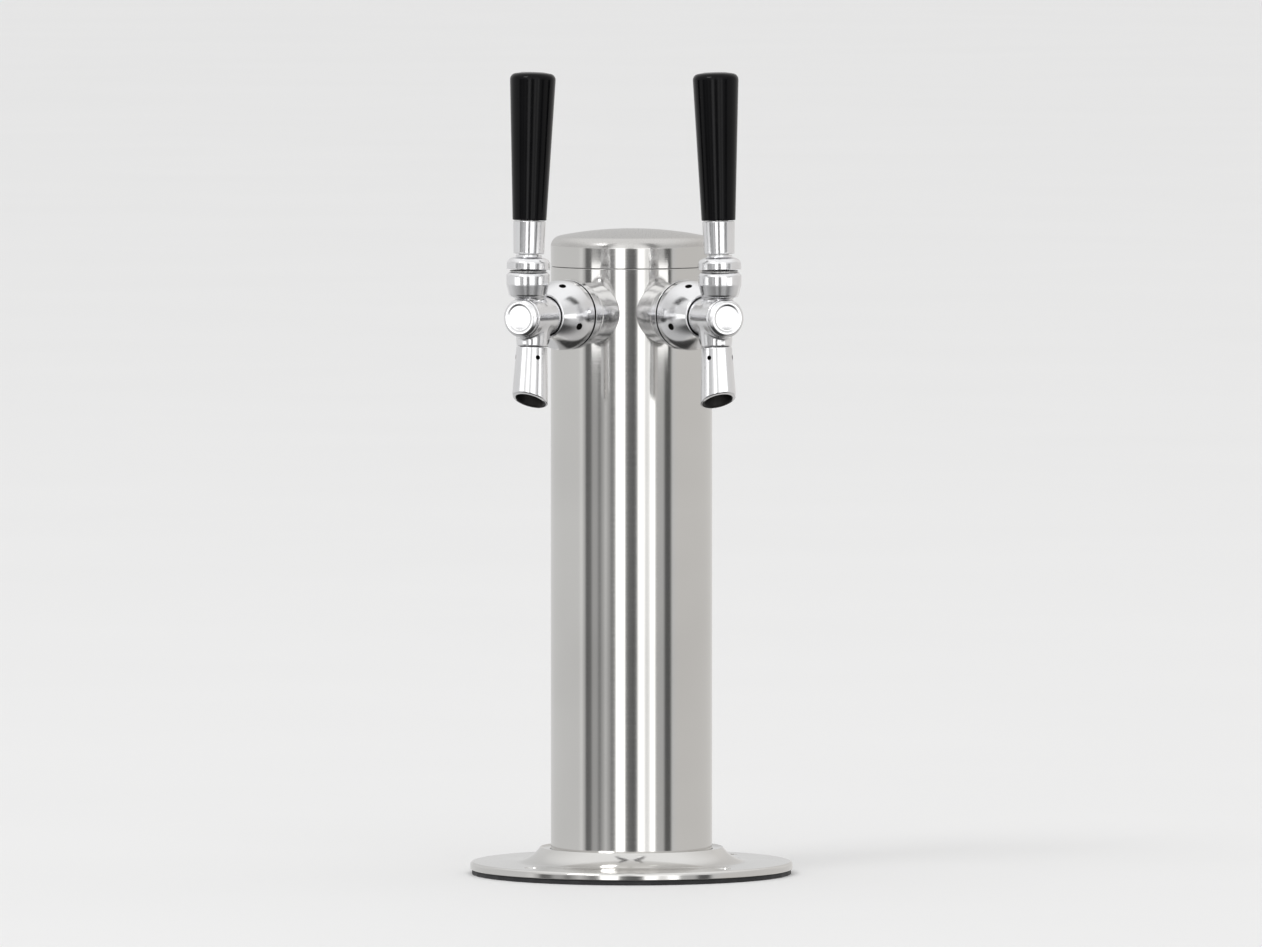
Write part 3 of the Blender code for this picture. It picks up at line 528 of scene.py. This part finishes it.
def tube_mesh():
    inner_r = COLUMN_R - 1.5
    rings = [TUBE_TOP - 2.0, SHANK_Z + 14.5, SHANK_Z - 14.5, SHANK_Z - 30, 150, 60]
    profile = [(inner_r, TUBE_TOP, 0.3), (COLUMN_R, TUBE_TOP, 0.15)]
    profile += [(COLUMN_R, z, 0) for z in rings]
    profile += [(COLUMN_R, TUBE_BOTTOM, 0.3), (inner_r, TUBE_BOTTOM, 0.3)]
    mesh = lathe("tube", rounded(profile), 180)
    holes = []
    for side in ("left", "right"):
        faucet = COLUMN.inverted() @ side_frames(side)[0]
        hole = lying(bar(side + "_hole", 11.6, (0, 0, 30), (0, 0, 45), 64))
        hole.transform(faucet)
        holes.append(hole)
    return smooth(cut(mesh, *holes))


def cap_arcs(inset):
    """The arcs of the dome and of its rounded corner, moved inwards by inset."""
    corner_r = 5.3
    reach = COLUMN_R - corner_r
    rise = CAP_TOP - CAP_RIM
    dome_r = (reach**2 + rise**2 - corner_r**2) / (2 * (rise - corner_r))
    meet = degrees(asin(reach / (dome_r - corner_r)))
    dome = arc(dome_r - inset, 0.0, meet, 14, (0.0, CAP_TOP - dome_r))
    corner = arc(corner_r - inset, meet, 90.0, 10, (reach, CAP_RIM))
    return dome, corner


def cap_mesh():
    plug_r = COLUMN_R - 1.9
    wall_r = plug_r - 1.8
    seam = TUBE_TOP + GAP
    dome, corner = cap_arcs(0.0)
    hollow, _ = cap_arcs(1.5)
    profile = [(r, z, 0) for r, z in dome + corner[1:]]
    profile += [
        (COLUMN_R, seam, 0.15),
        (plug_r, seam, 0.2),
        (plug_r, 283.8, 0.2),
        (35.05, 283.8, 0.2),
        (35.05, 281.4, 0.2),
        (plug_r, 281.4, 0.2),
        (plug_r, 280.3, 0.3),
        (wall_r, 280.3, 0.3),
        (wall_r, CAP_RIM, 0),
    ]
    profile += [(r, z, 0) for r, z in hollow[::-1]]
    mesh = smooth(lathe("cap", rounded(profile, closed=False), 180, False))
    mesh.materials.append(looks["satin_steel"])
    mesh.materials.append(looks["polished_steel"])
    for face in mesh.polygons:
        if face.center.xy.length / MM > COLUMN_R - 0.6 and face.center.z / MM < CAP_RIM + 1.0:
            face.material_index = 1
    return mesh


def ring_mesh():
    profile = [(35.35, 283.5), (36.35, 283.5), (36.35, 281.7), (35.35, 281.7)]
    return smooth(lathe("seal", rounded(profile, radius=0.45, steps=6), 120))


place("tower_flange", flange_mesh(), COLUMN, "tower", "polished_steel", "base_flange")
place("tower_tube", tube_mesh(), COLUMN, "tower", "polished_steel", "column_tube")
place("tower_cap", cap_mesh(), COLUMN, "cap", "satin_steel", "column_cap")
place("tower_cap_seal", ring_mesh(), COLUMN, "cap", "rubber", "cap_ring")


# ---------------------------------------------------------------------------- the faucets


def escutcheon_mesh():
    front = ESCUTCHEON_FRONT
    profile = [
        (11.5, front, 0.3),
        (ESCUTCHEON_R, front, 0.9),
        (ESCUTCHEON_R, front - 3.0, 0.8),
        (14.6, front - 4.6, 1.2),
        (ESCUTCHEON_WAIST_R, front - 10.0, 2.0),
        (ESCUTCHEON_WAIST_R, 32.0, 0.3),
        (11.5, 32.0, 0.3),
    ]
    mesh = lying(lathe("escutcheon", rounded(profile, steps=5), 96))
    return smooth(cut(mesh, bar("column_wall", COLUMN_R + GAP, (0, 0, -19), (0, 0, 19), 180)))


def nut_mesh():
    """The coupling nut: a cylinder with a groove and a dome, with painted shade inside its groove and holes."""
    front, shoulder, rear, r = NUT_FRONT, NUT_SHOULDER, NUT_REAR, NUT_R
    face_r = 10.4
    profile = [(9.7, front, 0.25)]
    for i in range(21):
        s = 1 - i / 20
        corner = 0.5 if i == 0 else 0
        dome_r = face_r + (r - face_r) * (1 - s**1.6)
        profile.append((dome_r, shoulder + (front - shoulder) * s, corner))
    profile += [
        (r, 61.8, 0.25),
        (r - 1.0, 61.6, 0.15),
        (r - 1.0, 60.4, 0.15),
        (r, 60.2, 0.25),
        (r, rear, 0.8),
        (13.5, rear, 0.3),
        (13.5, 68.3, 0.3),
        (12.1, 69.2, 0.3),
        (12.1, 72.4, 0.3),
        (9.7, 72.4, 0.3),
    ]
    mesh = lying(lathe("nut", rounded(profile, steps=4), 120))
    holes = []
    for i in range(4):
        hole = bar(f"spanner_{i}", SPANNER_HOLE_R, (71.3, 13.1, 0), (72.9, 17.2, 0), 32)
        hole.transform(Matrix.Rotation(pi / 2 * i, 4, "X"))
        holes.append(hole)
    mesh = smooth(cut(mesh, *holes))
    mesh.materials.clear()
    mesh.materials.append(looks["chrome"])
    mesh.materials.append(looks["painted_recess_shade"])
    # The groove's floor and the spanner holes' walls get the painted shade.
    for face in mesh.polygons:
        centre = face.center / MM
        away = hypot(centre.y, centre.z)
        in_groove = 60.1 < centre.x < 61.9 and away < r - 0.15
        full_r = face_r + (r - face_r) * (1 - ((centre.x - shoulder) / (front - shoulder)) ** 1.6)
        in_hole = 69.5 < centre.x < 74.5 and 12.9 < away < full_r - 0.08
        if in_groove or in_hole:
            face.material_index = 1
    return mesh


def turned_field(profile, radius, height):
    """The distance to a shape of revolution whose profile is a closed polygon."""
    best = np.full(np.shape(radius), 1e9)
    inside = np.zeros(np.shape(radius), bool)
    for (ax, ay), (bx, by) in zip(profile, profile[1:] + profile[:1]):
        ex, ey = bx - ax, by - ay
        wx, wy = radius - ax, height - ay
        share = np.clip((wx * ex + wy * ey) / (ex * ex + ey * ey), 0, 1)
        best = np.minimum(best, (wx - ex * share) ** 2 + (wy - ey * share) ** 2)
        if ay != by:
            inside ^= ((ay > height) != (by > height)) & (radius < ax + (height - ay) * ex / ey)
    return np.where(inside, -1, 1) * np.sqrt(best)


def rod_field(across, along, r, start, end, edge=0.5):
    """The distance to a round bar with rounded ends."""
    side = across - (r - edge)
    over = np.abs(along - (start + end) / 2) - ((end - start) / 2 - edge)
    outer = np.sqrt(np.maximum(side, 0) ** 2 + np.maximum(over, 0) ** 2)
    return outer + np.minimum(np.maximum(side, over), 0) - edge


def melt(a, b, reach):
    """The union of two shapes, with a fillet."""
    share = np.maximum(reach - np.abs(a - b), 0) / reach
    return np.minimum(a, b) - share**3 * reach / 6


CUP_PROFILE = rounded(
    [
        (-1, CUP_TOP, 0),
        (CUP_R - 1.2, CUP_TOP, 0.35),
        (CUP_R, CUP_TOP - 1.4, 1.0),
        (CUP_R, CUP_TOP - 5.7, 2.4),
        (CUP_R - 1.3, CUP_TOP - 10.9, 1.5),
        (CUP_R - 1.7, PLUG_R + 0.8, 0.5),
        (5.0, PLUG_R + 0.35, 0.3),
        (5.0, 1.0, 0),
        (-1, 1.0, 0),
    ],
    hold=9,
)


def body_field(x, y, z):
    along = np.sqrt(y**2 + z**2)
    barrel = rod_field(along, x, 9.3, BODY_REAR, BODY_FRONT, 0.6)
    cup = turned_field(CUP_PROFILE, np.sqrt((x - LEVER_X) ** 2 + y**2), z)
    lean = radians(SPOUT_LEAN)
    sx = (x - SPOUT_TOP[0]) * cos(lean) + (z - SPOUT_TOP[1]) * sin(lean)
    sz = -(x - SPOUT_TOP[0]) * sin(lean) + (z - SPOUT_TOP[1]) * cos(lean)
    taper = 7.1 + np.clip(sz, 0, 14) * 0.09
    boss = rod_field(np.sqrt(sx**2 + y**2) - taper + 7.1, sz, 7.1, 0.3, 14.0)
    shoulder = rod_field(np.sqrt((x - SHOULDER_X) ** 2 + y**2), z, 7.2, 1.0, PLUG_R + 1.1)
    web = rod_field(np.sqrt((x - WEB_X) ** 2 + y**2), z, 6.0, -11.8, 0.5, 1.5)
    rib_side = np.maximum(np.abs(x - RIB_X) - 1.5, np.abs(z + 6.0) - 5.6)
    rib = np.maximum(np.abs(y) - 5.0, rib_side) - 0.5
    solid = melt(barrel, shoulder, 1.5)
    solid = melt(solid, cup, 2.2)
    solid = melt(solid, boss, 2.0)
    return melt(solid, melt(web, rib, 2.0), 2.6)


def body_mesh():
    mesh = net("body", body_field, (67.3, -12.0, -15.6), (LEVER_X + 12.0, 12.0, 22.6), 0.4)
    bore = lying(
        lathe(
            "bore",
            [
                (0, BODY_FRONT + 1),
                (7.3, BODY_FRONT + 1),
                (7.3, PLUG_SOCKET_REAR),
                (BORE_R, PLUG_SOCKET_REAR),
                (BORE_R, 73.8),
                (7.9, 73.8),
                (7.9, BODY_REAR - 1.3),
                (0, BODY_REAR - 1.3),
            ],
            64,
            False,
        )
    )
    socket = [(0, CUP_TOP + 1), (8.2, CUP_TOP + 1), (8.2, 12.3)]
    socket += [(BORE_R, 12.3), (BORE_R, 10.0), (0, 10.0)]
    socket_hole = lathe("socket", socket, 96, False)
    socket_hole.transform(Matrix.Translation(Vector((LEVER_X, 0, 0)) * MM))
    way_down = [(0, 11.0), (4.4, 11.0), (4.4, 5.9), (5.9, 5.9), (5.9, -2.0), (0, -2.0)]
    down = lathe("down", way_down, 64, False)
    down.transform(spout_local())
    groove = lying(lathe("groove", [(8.8, 72.4), (12.0, 72.4), (12.0, 70.2), (8.8, 70.2)], 96))
    return smooth(cut(mesh, bore, socket_hole, slot_mesh(), down, groove), 40)


def slot_mesh():
    """The slot that the lever's tail swings in."""
    swing = radians(31.0 + LEVER_LEAN)

    def rear(z):
        return LEVER_X - (PIVOT_Z - z) * tan(swing) - 2.2 / cos(swing)

    front = LEVER_X + 2.9
    outline = [(rear(1.0), 1.0), (front, 1.0), (front, 12.6), (rear(12.6), 12.6)]
    verts = [(x * MM, y * MM, z * MM) for y in (-2.5, 2.5) for x, z in outline]
    sides = [(i, (i + 1) % 4, 4 + (i + 1) % 4, 4 + i) for i in range(4)]
    mesh = bpy.data.meshes.new("slot")
    mesh.from_pydata(verts, [], [(0, 1, 2, 3), (4, 5, 6, 7)] + sides)
    return tidied(mesh)


def spout_mesh():
    wall, top_r, mouth_r = SPOUT_WALL, SPOUT_TOP_R, SPOUT_MOUTH_R
    spread = (mouth_r - top_r) / -MOUTH_Z
    outer = [(top_r - spread * z, z) for z in (-1.5, -3, -6.5, -9, -12, -15, -18, -21)]
    inner = [(4.4 + (mouth_r - wall - 4.4) * (-z - 5) / 20, z) for z in (-21, -18, -15, -12, -9)]
    profile = [(4.4, 5.6, 0.2), (5.5, 5.6, 0.3), (5.5, 0.0, 0.2), (top_r, 0.0, 0.35)]
    profile += [(r, z, 0) for r, z in outer]
    profile += [(mouth_r, MOUTH_Z, 0.65), (mouth_r - wall, MOUTH_Z, 0.65)]
    profile += [(r, z, 0) for r, z in inner]
    profile += [(4.4, -5.0, 0)]
    mesh = lathe("spout", rounded(profile, steps=5), 96)
    for vertex in mesh.vertices:
        share = min(1.0, max(0.0, (vertex.co.z / MM + 7.0) / (MOUTH_Z + 7.0)))
        vertex.co.z += share * MOUTH_SLOPE * vertex.co.x
    vents = []
    for turn in (-55.0, 55.0):
        vent = bar("vent", 1.1, (2.0, 0, -4.8), (10.2, 0, -4.8), 32)
        vent.transform(Matrix.Rotation(radians(turn), 4, "Z"))
        vents.append(vent)
    mesh = smooth(cut(mesh, *vents))
    mesh.materials.clear()
    mesh.materials.append(looks["chrome"])
    mesh.materials.append(looks["painted_recess_shade"])
    # The inside of the spout gets the painted shade of its bore.
    for face in mesh.polygons:
        centre = face.center / MM
        away = hypot(centre.x, centre.y)
        outside_r = top_r - spread * min(0.0, centre.z)
        facing_in = face.normal.x * centre.x + face.normal.y * centre.y < 0
        if away < outside_r - 0.9 and (facing_in or centre.z > -20):
            face.material_index = 1
    return mesh


def plug_mesh():
    front = PLUG_FRONT
    profile = [
        (0.0, front - 0.1, 0),
        (2.5, front - 0.17, 0),
        (5.7, front - 0.45, 0.8),
        (6.6, front - 0.12, 0.5),
        (7.6, front, 0.9),
        (PLUG_R, front - 1.1, 0.9),
        (PLUG_R, PLUG_REAR + 0.5, 0.4),
        (PLUG_R - 0.5, PLUG_REAR, 0.3),
        (7.0, PLUG_REAR, 0.2),
        (7.0, PLUG_SOCKET_REAR + GAP, 0.2),
        (5.2, PLUG_SOCKET_REAR + GAP, 0.2),
        (5.2, front - 2.0, 0),
        (0.0, front - 2.0, 0),
    ]
    return smooth(lying(lathe("plug", rounded(profile, steps=5, closed=False), 96, False)))


def bonnet_mesh():
    shell = arc(6.9, 83.0, 60.0, 6, (0.0, PIVOT_Z))
    profile = [
        (6.3, 22.2, 0.3),
        (8.2, 22.2, 0.2),
        (8.6, 21.9, 0.2),
        (8.6, 21.6, 0.1),
        (7.9, 21.6, 0.1),
        (7.9, shell[0][1], 0.2),
    ]
    profile += [(r, z, 0) for r, z in shell]
    mesh = lathe("bonnet", rounded(profile), 96)
    mesh.transform(Matrix.Translation(Vector((LEVER_X, 0, 0)) * MM))
    return smooth(mesh)


def lever_mesh():
    neck_angle = degrees(asin(NECK_R / BALL_R))
    tail_angle = 180 - degrees(asin(TAIL_R / BALL_R))
    ball = arc(BALL_R, neck_angle, tail_angle, 24)
    tip = arc(TIP_R, degrees(asin(TAIL_R / TIP_R)), 180, 8, (0.0, -TIP_DROP))
    profile = [(0.0, STUD_TOP, 0), (STUD_R, STUD_TOP, 0.5), (STUD_R, 10.0, 0.4), (NECK_R, 8.6, 0.5)]
    profile += [(r, z, 0) for r, z in ball + tip]
    return smooth(lathe("lever", rounded(profile, closed=False), 64, False))


def collar_mesh():
    crown_z = COLLAR_CROWN_R * cos(asin(STUD_HOLE_R / COLLAR_CROWN_R))
    shell = arc(COLLAR_SHELL_R, 61.0, 44.0, 6) + [(6.5, crown_z - 0.2), (STUD_HOLE_R, crown_z)]
    profile = [
        (STUD_HOLE_R, 12.3, 0.2),
        (5.9, 12.3, 0.2),
        (6.1, 11.2, 0.3),
        (7.2, 11.0, 0.8),
        (CUP_R - 1.0, 10.2, 1.2),
        (CUP_R, 8.7, 1.4),
        (CUP_R, 5.5, 0.4),
    ]
    profile += [(r, z, 0) for r, z in shell]
    return smooth(lathe("collar", rounded(profile, steps=5), 96))


def ferrule_mesh():
    profile = [
        (STUD_HOLE_R, FERRULE_TOP, 0.2),
        (7.6, FERRULE_TOP, 0.4),
        (7.4, 22.0, 0),
        (7.15, FERRULE_BOTTOM, 0.5),
        (STUD_HOLE_R, FERRULE_BOTTOM, 0.2),
    ]
    return smooth(lathe("ferrule", rounded(profile, steps=4), 96))


def handle_mesh():
    bottom, top = HANDLE_BOTTOM, HANDLE_TOP
    edge = arc(3.0, 20.0, 92.0, 10, (7.7, top - 3.6))
    profile = [(0.0, top, 0), (5.0, top - 0.12, 0)]
    profile += [(r, z, 0) for r, z in edge]
    profile += [
        (7.95, bottom + 0.2, 0.6),
        (7.3, bottom, 0.2),
        (STUD_HOLE_R, bottom, 0.2),
        (STUD_HOLE_R, 34.0, 0.2),
        (0.0, 34.0, 0),
    ]
    return smooth(lathe("handle", rounded(profile, closed=False), 96, False))


meshes = {
    "escutcheon": escutcheon_mesh(),
    "nut": nut_mesh(),
    "body": body_mesh(),
    "spout": spout_mesh(),
    "plug": plug_mesh(),
    "bonnet": bonnet_mesh(),
    "lever": lever_mesh(),
    "collar": collar_mesh(),
    "ferrule": ferrule_mesh(),
    "handle": handle_mesh(),
}

for side, inward in (("left", 1.0), ("right", -1.0)):
    faucet, spout, lever = side_frames(side)
    nut = faucet @ Matrix.Rotation(radians(-inward * NUT_TURN), 4, "X")
    on_lever = side + "_lever"
    pieces = (
        ("escutcheon", faucet, "tower", "chrome", "shank_escutcheon"),
        ("nut", nut, "tower", "chrome", "coupling_nut"),
        ("body", faucet, "tower", "chrome", "faucet_body"),
        ("spout", spout, "tower", "chrome", "spout"),
        ("plug", faucet, "tower", "chrome", "front_plug"),
        ("bonnet", faucet, "tower", "turned_steel", "bonnet"),
        ("lever", lever, on_lever, "turned_steel", "lever"),
        ("collar", lever, on_lever, "chrome", "lever_collar"),
        ("ferrule", lever, on_lever, "chrome", "handle_ferrule"),
        ("handle", lever, on_lever, "black_handle", "tap_handle"),
    )
    for name, matrix, body, slot, node in pieces:
        place(f"{side}_{name}_look", meshes[name], matrix, body, slot, f"{side}_{node}")


# ---------------------------------------------------------------------------- the studio

# Where the studio is light and where it is dark, from left to right round the tower: degrees
# from straight ahead of the faucets, and brightness. STRIPS is what stands level with the tower,
# WALLS what is above the strips, GROUND what is below them and TRAY what is further down, where
# a dark drip tray stands in front.
STRIPS = (
    (-180, 0.72), (-80, 0.74), (-74, 0.85), (-69, 0.59), (-65, 0.15), (-59, 0.18), (-54, 0.46),
    (-49, 0.46), (-44, 0.26), (-39, 0.48), (-35, 0.68), (-30, 0.48), (-26, 0.26), (-22, 0.36),
    (-17.5, 2.40), (-9, 2.40), (-5, 0.32), (0, 0.18), (6, 0.14), (9.5, 0.30), (13, 1.80),
    (19.5, 1.80), (23, 1.02), (27, 1.10),
    (31, 2.00), (34.5, 2.00), (38.5, 0.56), (48, 0.54), (53, 0.12),
    (59, 0.12), (64, 0.72), (74, 0.73),
)
WALLS = (
    (-180, 0.66), (-140, 0.80), (-95, 0.70), (-60, 0.78), (-32, 0.86), (-22, 1.50), (-8, 1.50),
    (0, 0.70), (10, 1.40), (34, 1.40), (44, 0.80), (70, 0.74), (110, 0.72), (150, 0.82),
    (180, 0.66),
)
GROUND = (
    (-180, 0.48), (-170, 0.52), (-160, 1.10), (-146, 1.10), (-136, 0.52), (-112, 0.62), (-70, 0.45),
    (-24, 0.42), (-18, 0.80), (-8, 0.80), (-3, 0.26), (6, 0.26), (12, 0.78), (34, 0.78), (42, 0.46),
    (52, 0.28), (60, 0.28), (66, 0.46), (108, 0.62), (128, 0.56), (138, 1.00), (156, 1.00),
    (166, 0.52), (180, 0.48),
)
TRAY = ((-180, 0.60), (-100, 0.50), (-65, 0.05), (65, 0.05), (100, 0.50), (180, 0.60))
CEILING = 1.05
STUDIO_MOST = 3.0


def build_world():
    """Rings of light round the tower, each with its own pattern, blended by height."""
    world = bpy.data.worlds.new("studio")
    bpy.context.scene.world = world
    world.use_nodes = True
    tree = world.node_tree
    background = tree.nodes["Background"]
    place_node = tree.nodes.new("ShaderNodeTexCoord")
    parts = tree.nodes.new("ShaderNodeSeparateXYZ")
    tree.links.new(place_node.outputs["Generated"], parts.inputs["Vector"])
    front = tree.nodes.new("ShaderNodeMath")
    front.operation = "MULTIPLY"
    front.inputs[1].default_value = -1.0
    tree.links.new(parts.outputs["Y"], front.inputs[0])
    bearing = tree.nodes.new("ShaderNodeMath")
    bearing.operation = "ARCTAN2"
    tree.links.new(parts.outputs["X"], bearing.inputs[0])
    tree.links.new(front.outputs["Value"], bearing.inputs[1])
    share = ranged(tree, bearing.outputs["Value"], 0.0, 1.0, -pi, pi)

    def round_the_tower(levels):
        ramp = tree.nodes.new("ShaderNodeValToRGB")
        ramp.color_ramp.interpolation = "EASE"
        stops = ramp.color_ramp.elements
        while len(stops) < len(levels):
            stops.new(1.0)
        for stop, (angle, level) in zip(stops, levels):
            stop.position = (angle + 180) / 360
            warm = 0.965 if angle > 70 else 1.0
            value = level / STUDIO_MOST
            stop.color = (value, value * (1 + warm) / 2, value * warm, 1.0)
        tree.links.new(share, ramp.inputs["Fac"])
        return ramp.outputs["Color"]

    def blend(below, above, start, end):
        mix = tree.nodes.new("ShaderNodeMix")
        mix.data_type = "RGBA"
        tree.links.new(ranged(tree, parts.outputs["Z"], 0.0, 1.0, start, end), mix.inputs["Factor"])
        tree.links.new(below, mix.inputs["A"])
        tree.links.new(above, mix.inputs["B"])
        return mix.outputs["Result"]

    ceiling = tree.nodes.new("ShaderNodeRGB")
    ceiling.outputs[0].default_value = (CEILING / STUDIO_MOST,) * 3 + (1.0,)
    level = blend(round_the_tower(TRAY), round_the_tower(GROUND), -0.58, -0.42)
    level = blend(level, round_the_tower(STRIPS), -0.36, -0.14)
    level = blend(level, round_the_tower(WALLS), 0.07, 0.18)
    level = blend(level, ceiling.outputs[0], 0.45, 0.85)
    tree.links.new(level, background.inputs["Color"])
    background.inputs["Strength"].default_value = STUDIO_MOST


def build_card(name, centre, normal, width, height, level):
    """An upright glowing card, in millimetres, that only shows in what reflects it."""
    normal = Vector(normal).normalized()
    across = normal.cross(Vector((0, 0, 1))).normalized()
    up = across.cross(normal)
    centre = Vector(centre)
    ends = ((-1, -1), (1, -1), (1, 1), (-1, 1))
    corners = [centre + across * a * width / 2 + up * b * height / 2 for a, b in ends]
    mesh = bpy.data.meshes.new(name)
    mesh.from_pydata([tuple(c * MM) for c in corners], [], [(0, 1, 2, 3)])
    material = bpy.data.materials.new(name)
    material.use_nodes = True
    tree = material.node_tree
    tree.nodes.clear()
    glow = tree.nodes.new("ShaderNodeEmission")
    glow.inputs["Color"].default_value = (1.0, 1.0, 1.0, 1.0)
    glow.inputs["Strength"].default_value = level
    output = tree.nodes.new("ShaderNodeOutputMaterial")
    tree.links.new(glow.outputs[0], output.inputs["Surface"])
    mesh.materials.append(material)
    card = bpy.data.objects.new(name, mesh)
    bpy.context.scene.collection.objects.link(card)
    card.visible_camera = False
    card.visible_diffuse = False
    card.visible_shadow = False
    card.visible_transmission = False


def build_cards():
    """A white card for each faucet, placed where its front plug's face mirrors it to the camera."""
    bearing = radians(28.0)
    away, width, height, level = 120, 64, 46, 1.7
    for sign in (-1, 1):
        out = PLUG_FRONT * sin(bearing)
        ahead = PLUG_FRONT * cos(bearing)
        plug = Vector((sign * out, AXIS.y - ahead, SHANK_Z))
        way = Vector((sign * sin(2 * bearing), -cos(2 * bearing), -0.03)).normalized()
        build_card("white_card", plug + way * away, -way, width, height, level)


def build_floor():
    mesh = bpy.data.meshes.new("studio_floor")
    size = 60.0
    corners = [(-size, -size, 0), (size, -size, 0), (size, size, 0), (-size, size, 0)]
    mesh.from_pydata(corners, [], [(0, 1, 2, 3)])
    floor = bpy.data.objects.new("studio_floor", mesh)
    bpy.context.scene.collection.objects.link(floor)
    mesh.materials.append(
        new_material(
            "pale_floor", (0.81, 0.81, 0.81), (0.82, 0.82, 0.82), (0.60, 0.62), 0.0,
            (40, 40, 40), (3, 3, 3), (0.01, 0.00001),
        )
    )
    floor.visible_glossy = False


def area_light(name, position, target, size, power):
    data = bpy.data.lights.new(name, "AREA")
    data.shape = "RECTANGLE"
    data.size, data.size_y = size
    data.energy = power
    light = bpy.data.objects.new(name, data)
    bpy.context.scene.collection.objects.link(light)
    light.location = position
    way = Vector(target) - Vector(position)
    light.rotation_euler = way.to_track_quat("-Z", "Y").to_euler()
    return light


def build_camera():
    """The camera looks from slightly above and slightly right of straight ahead."""
    distance, bearing, height = 7.94, radians(2.4), radians(3.0)
    target = Vector((0.0, AXIS.y * MM * 0.5, 0.1895))
    way = Vector((sin(bearing) * cos(height), -cos(bearing) * cos(height), sin(height)))
    data = bpy.data.cameras.new("camera")
    data.lens = 480.0
    data.sensor_width = 36.0
    data.clip_end = 200.0
    camera = bpy.data.objects.new("camera", data)
    bpy.context.scene.collection.objects.link(camera)
    camera.location = target + way * distance
    camera.rotation_euler = (-way).to_track_quat("-Z", "Y").to_euler()
    bpy.context.scene.camera = camera


build_world()
build_floor()
build_cards()
area_light("key", KEY_LIGHT, KEY_TARGET, KEY_SIZE, KEY_POWER)
build_camera()
bpy.context.scene.view_settings.view_transform = "Standard"
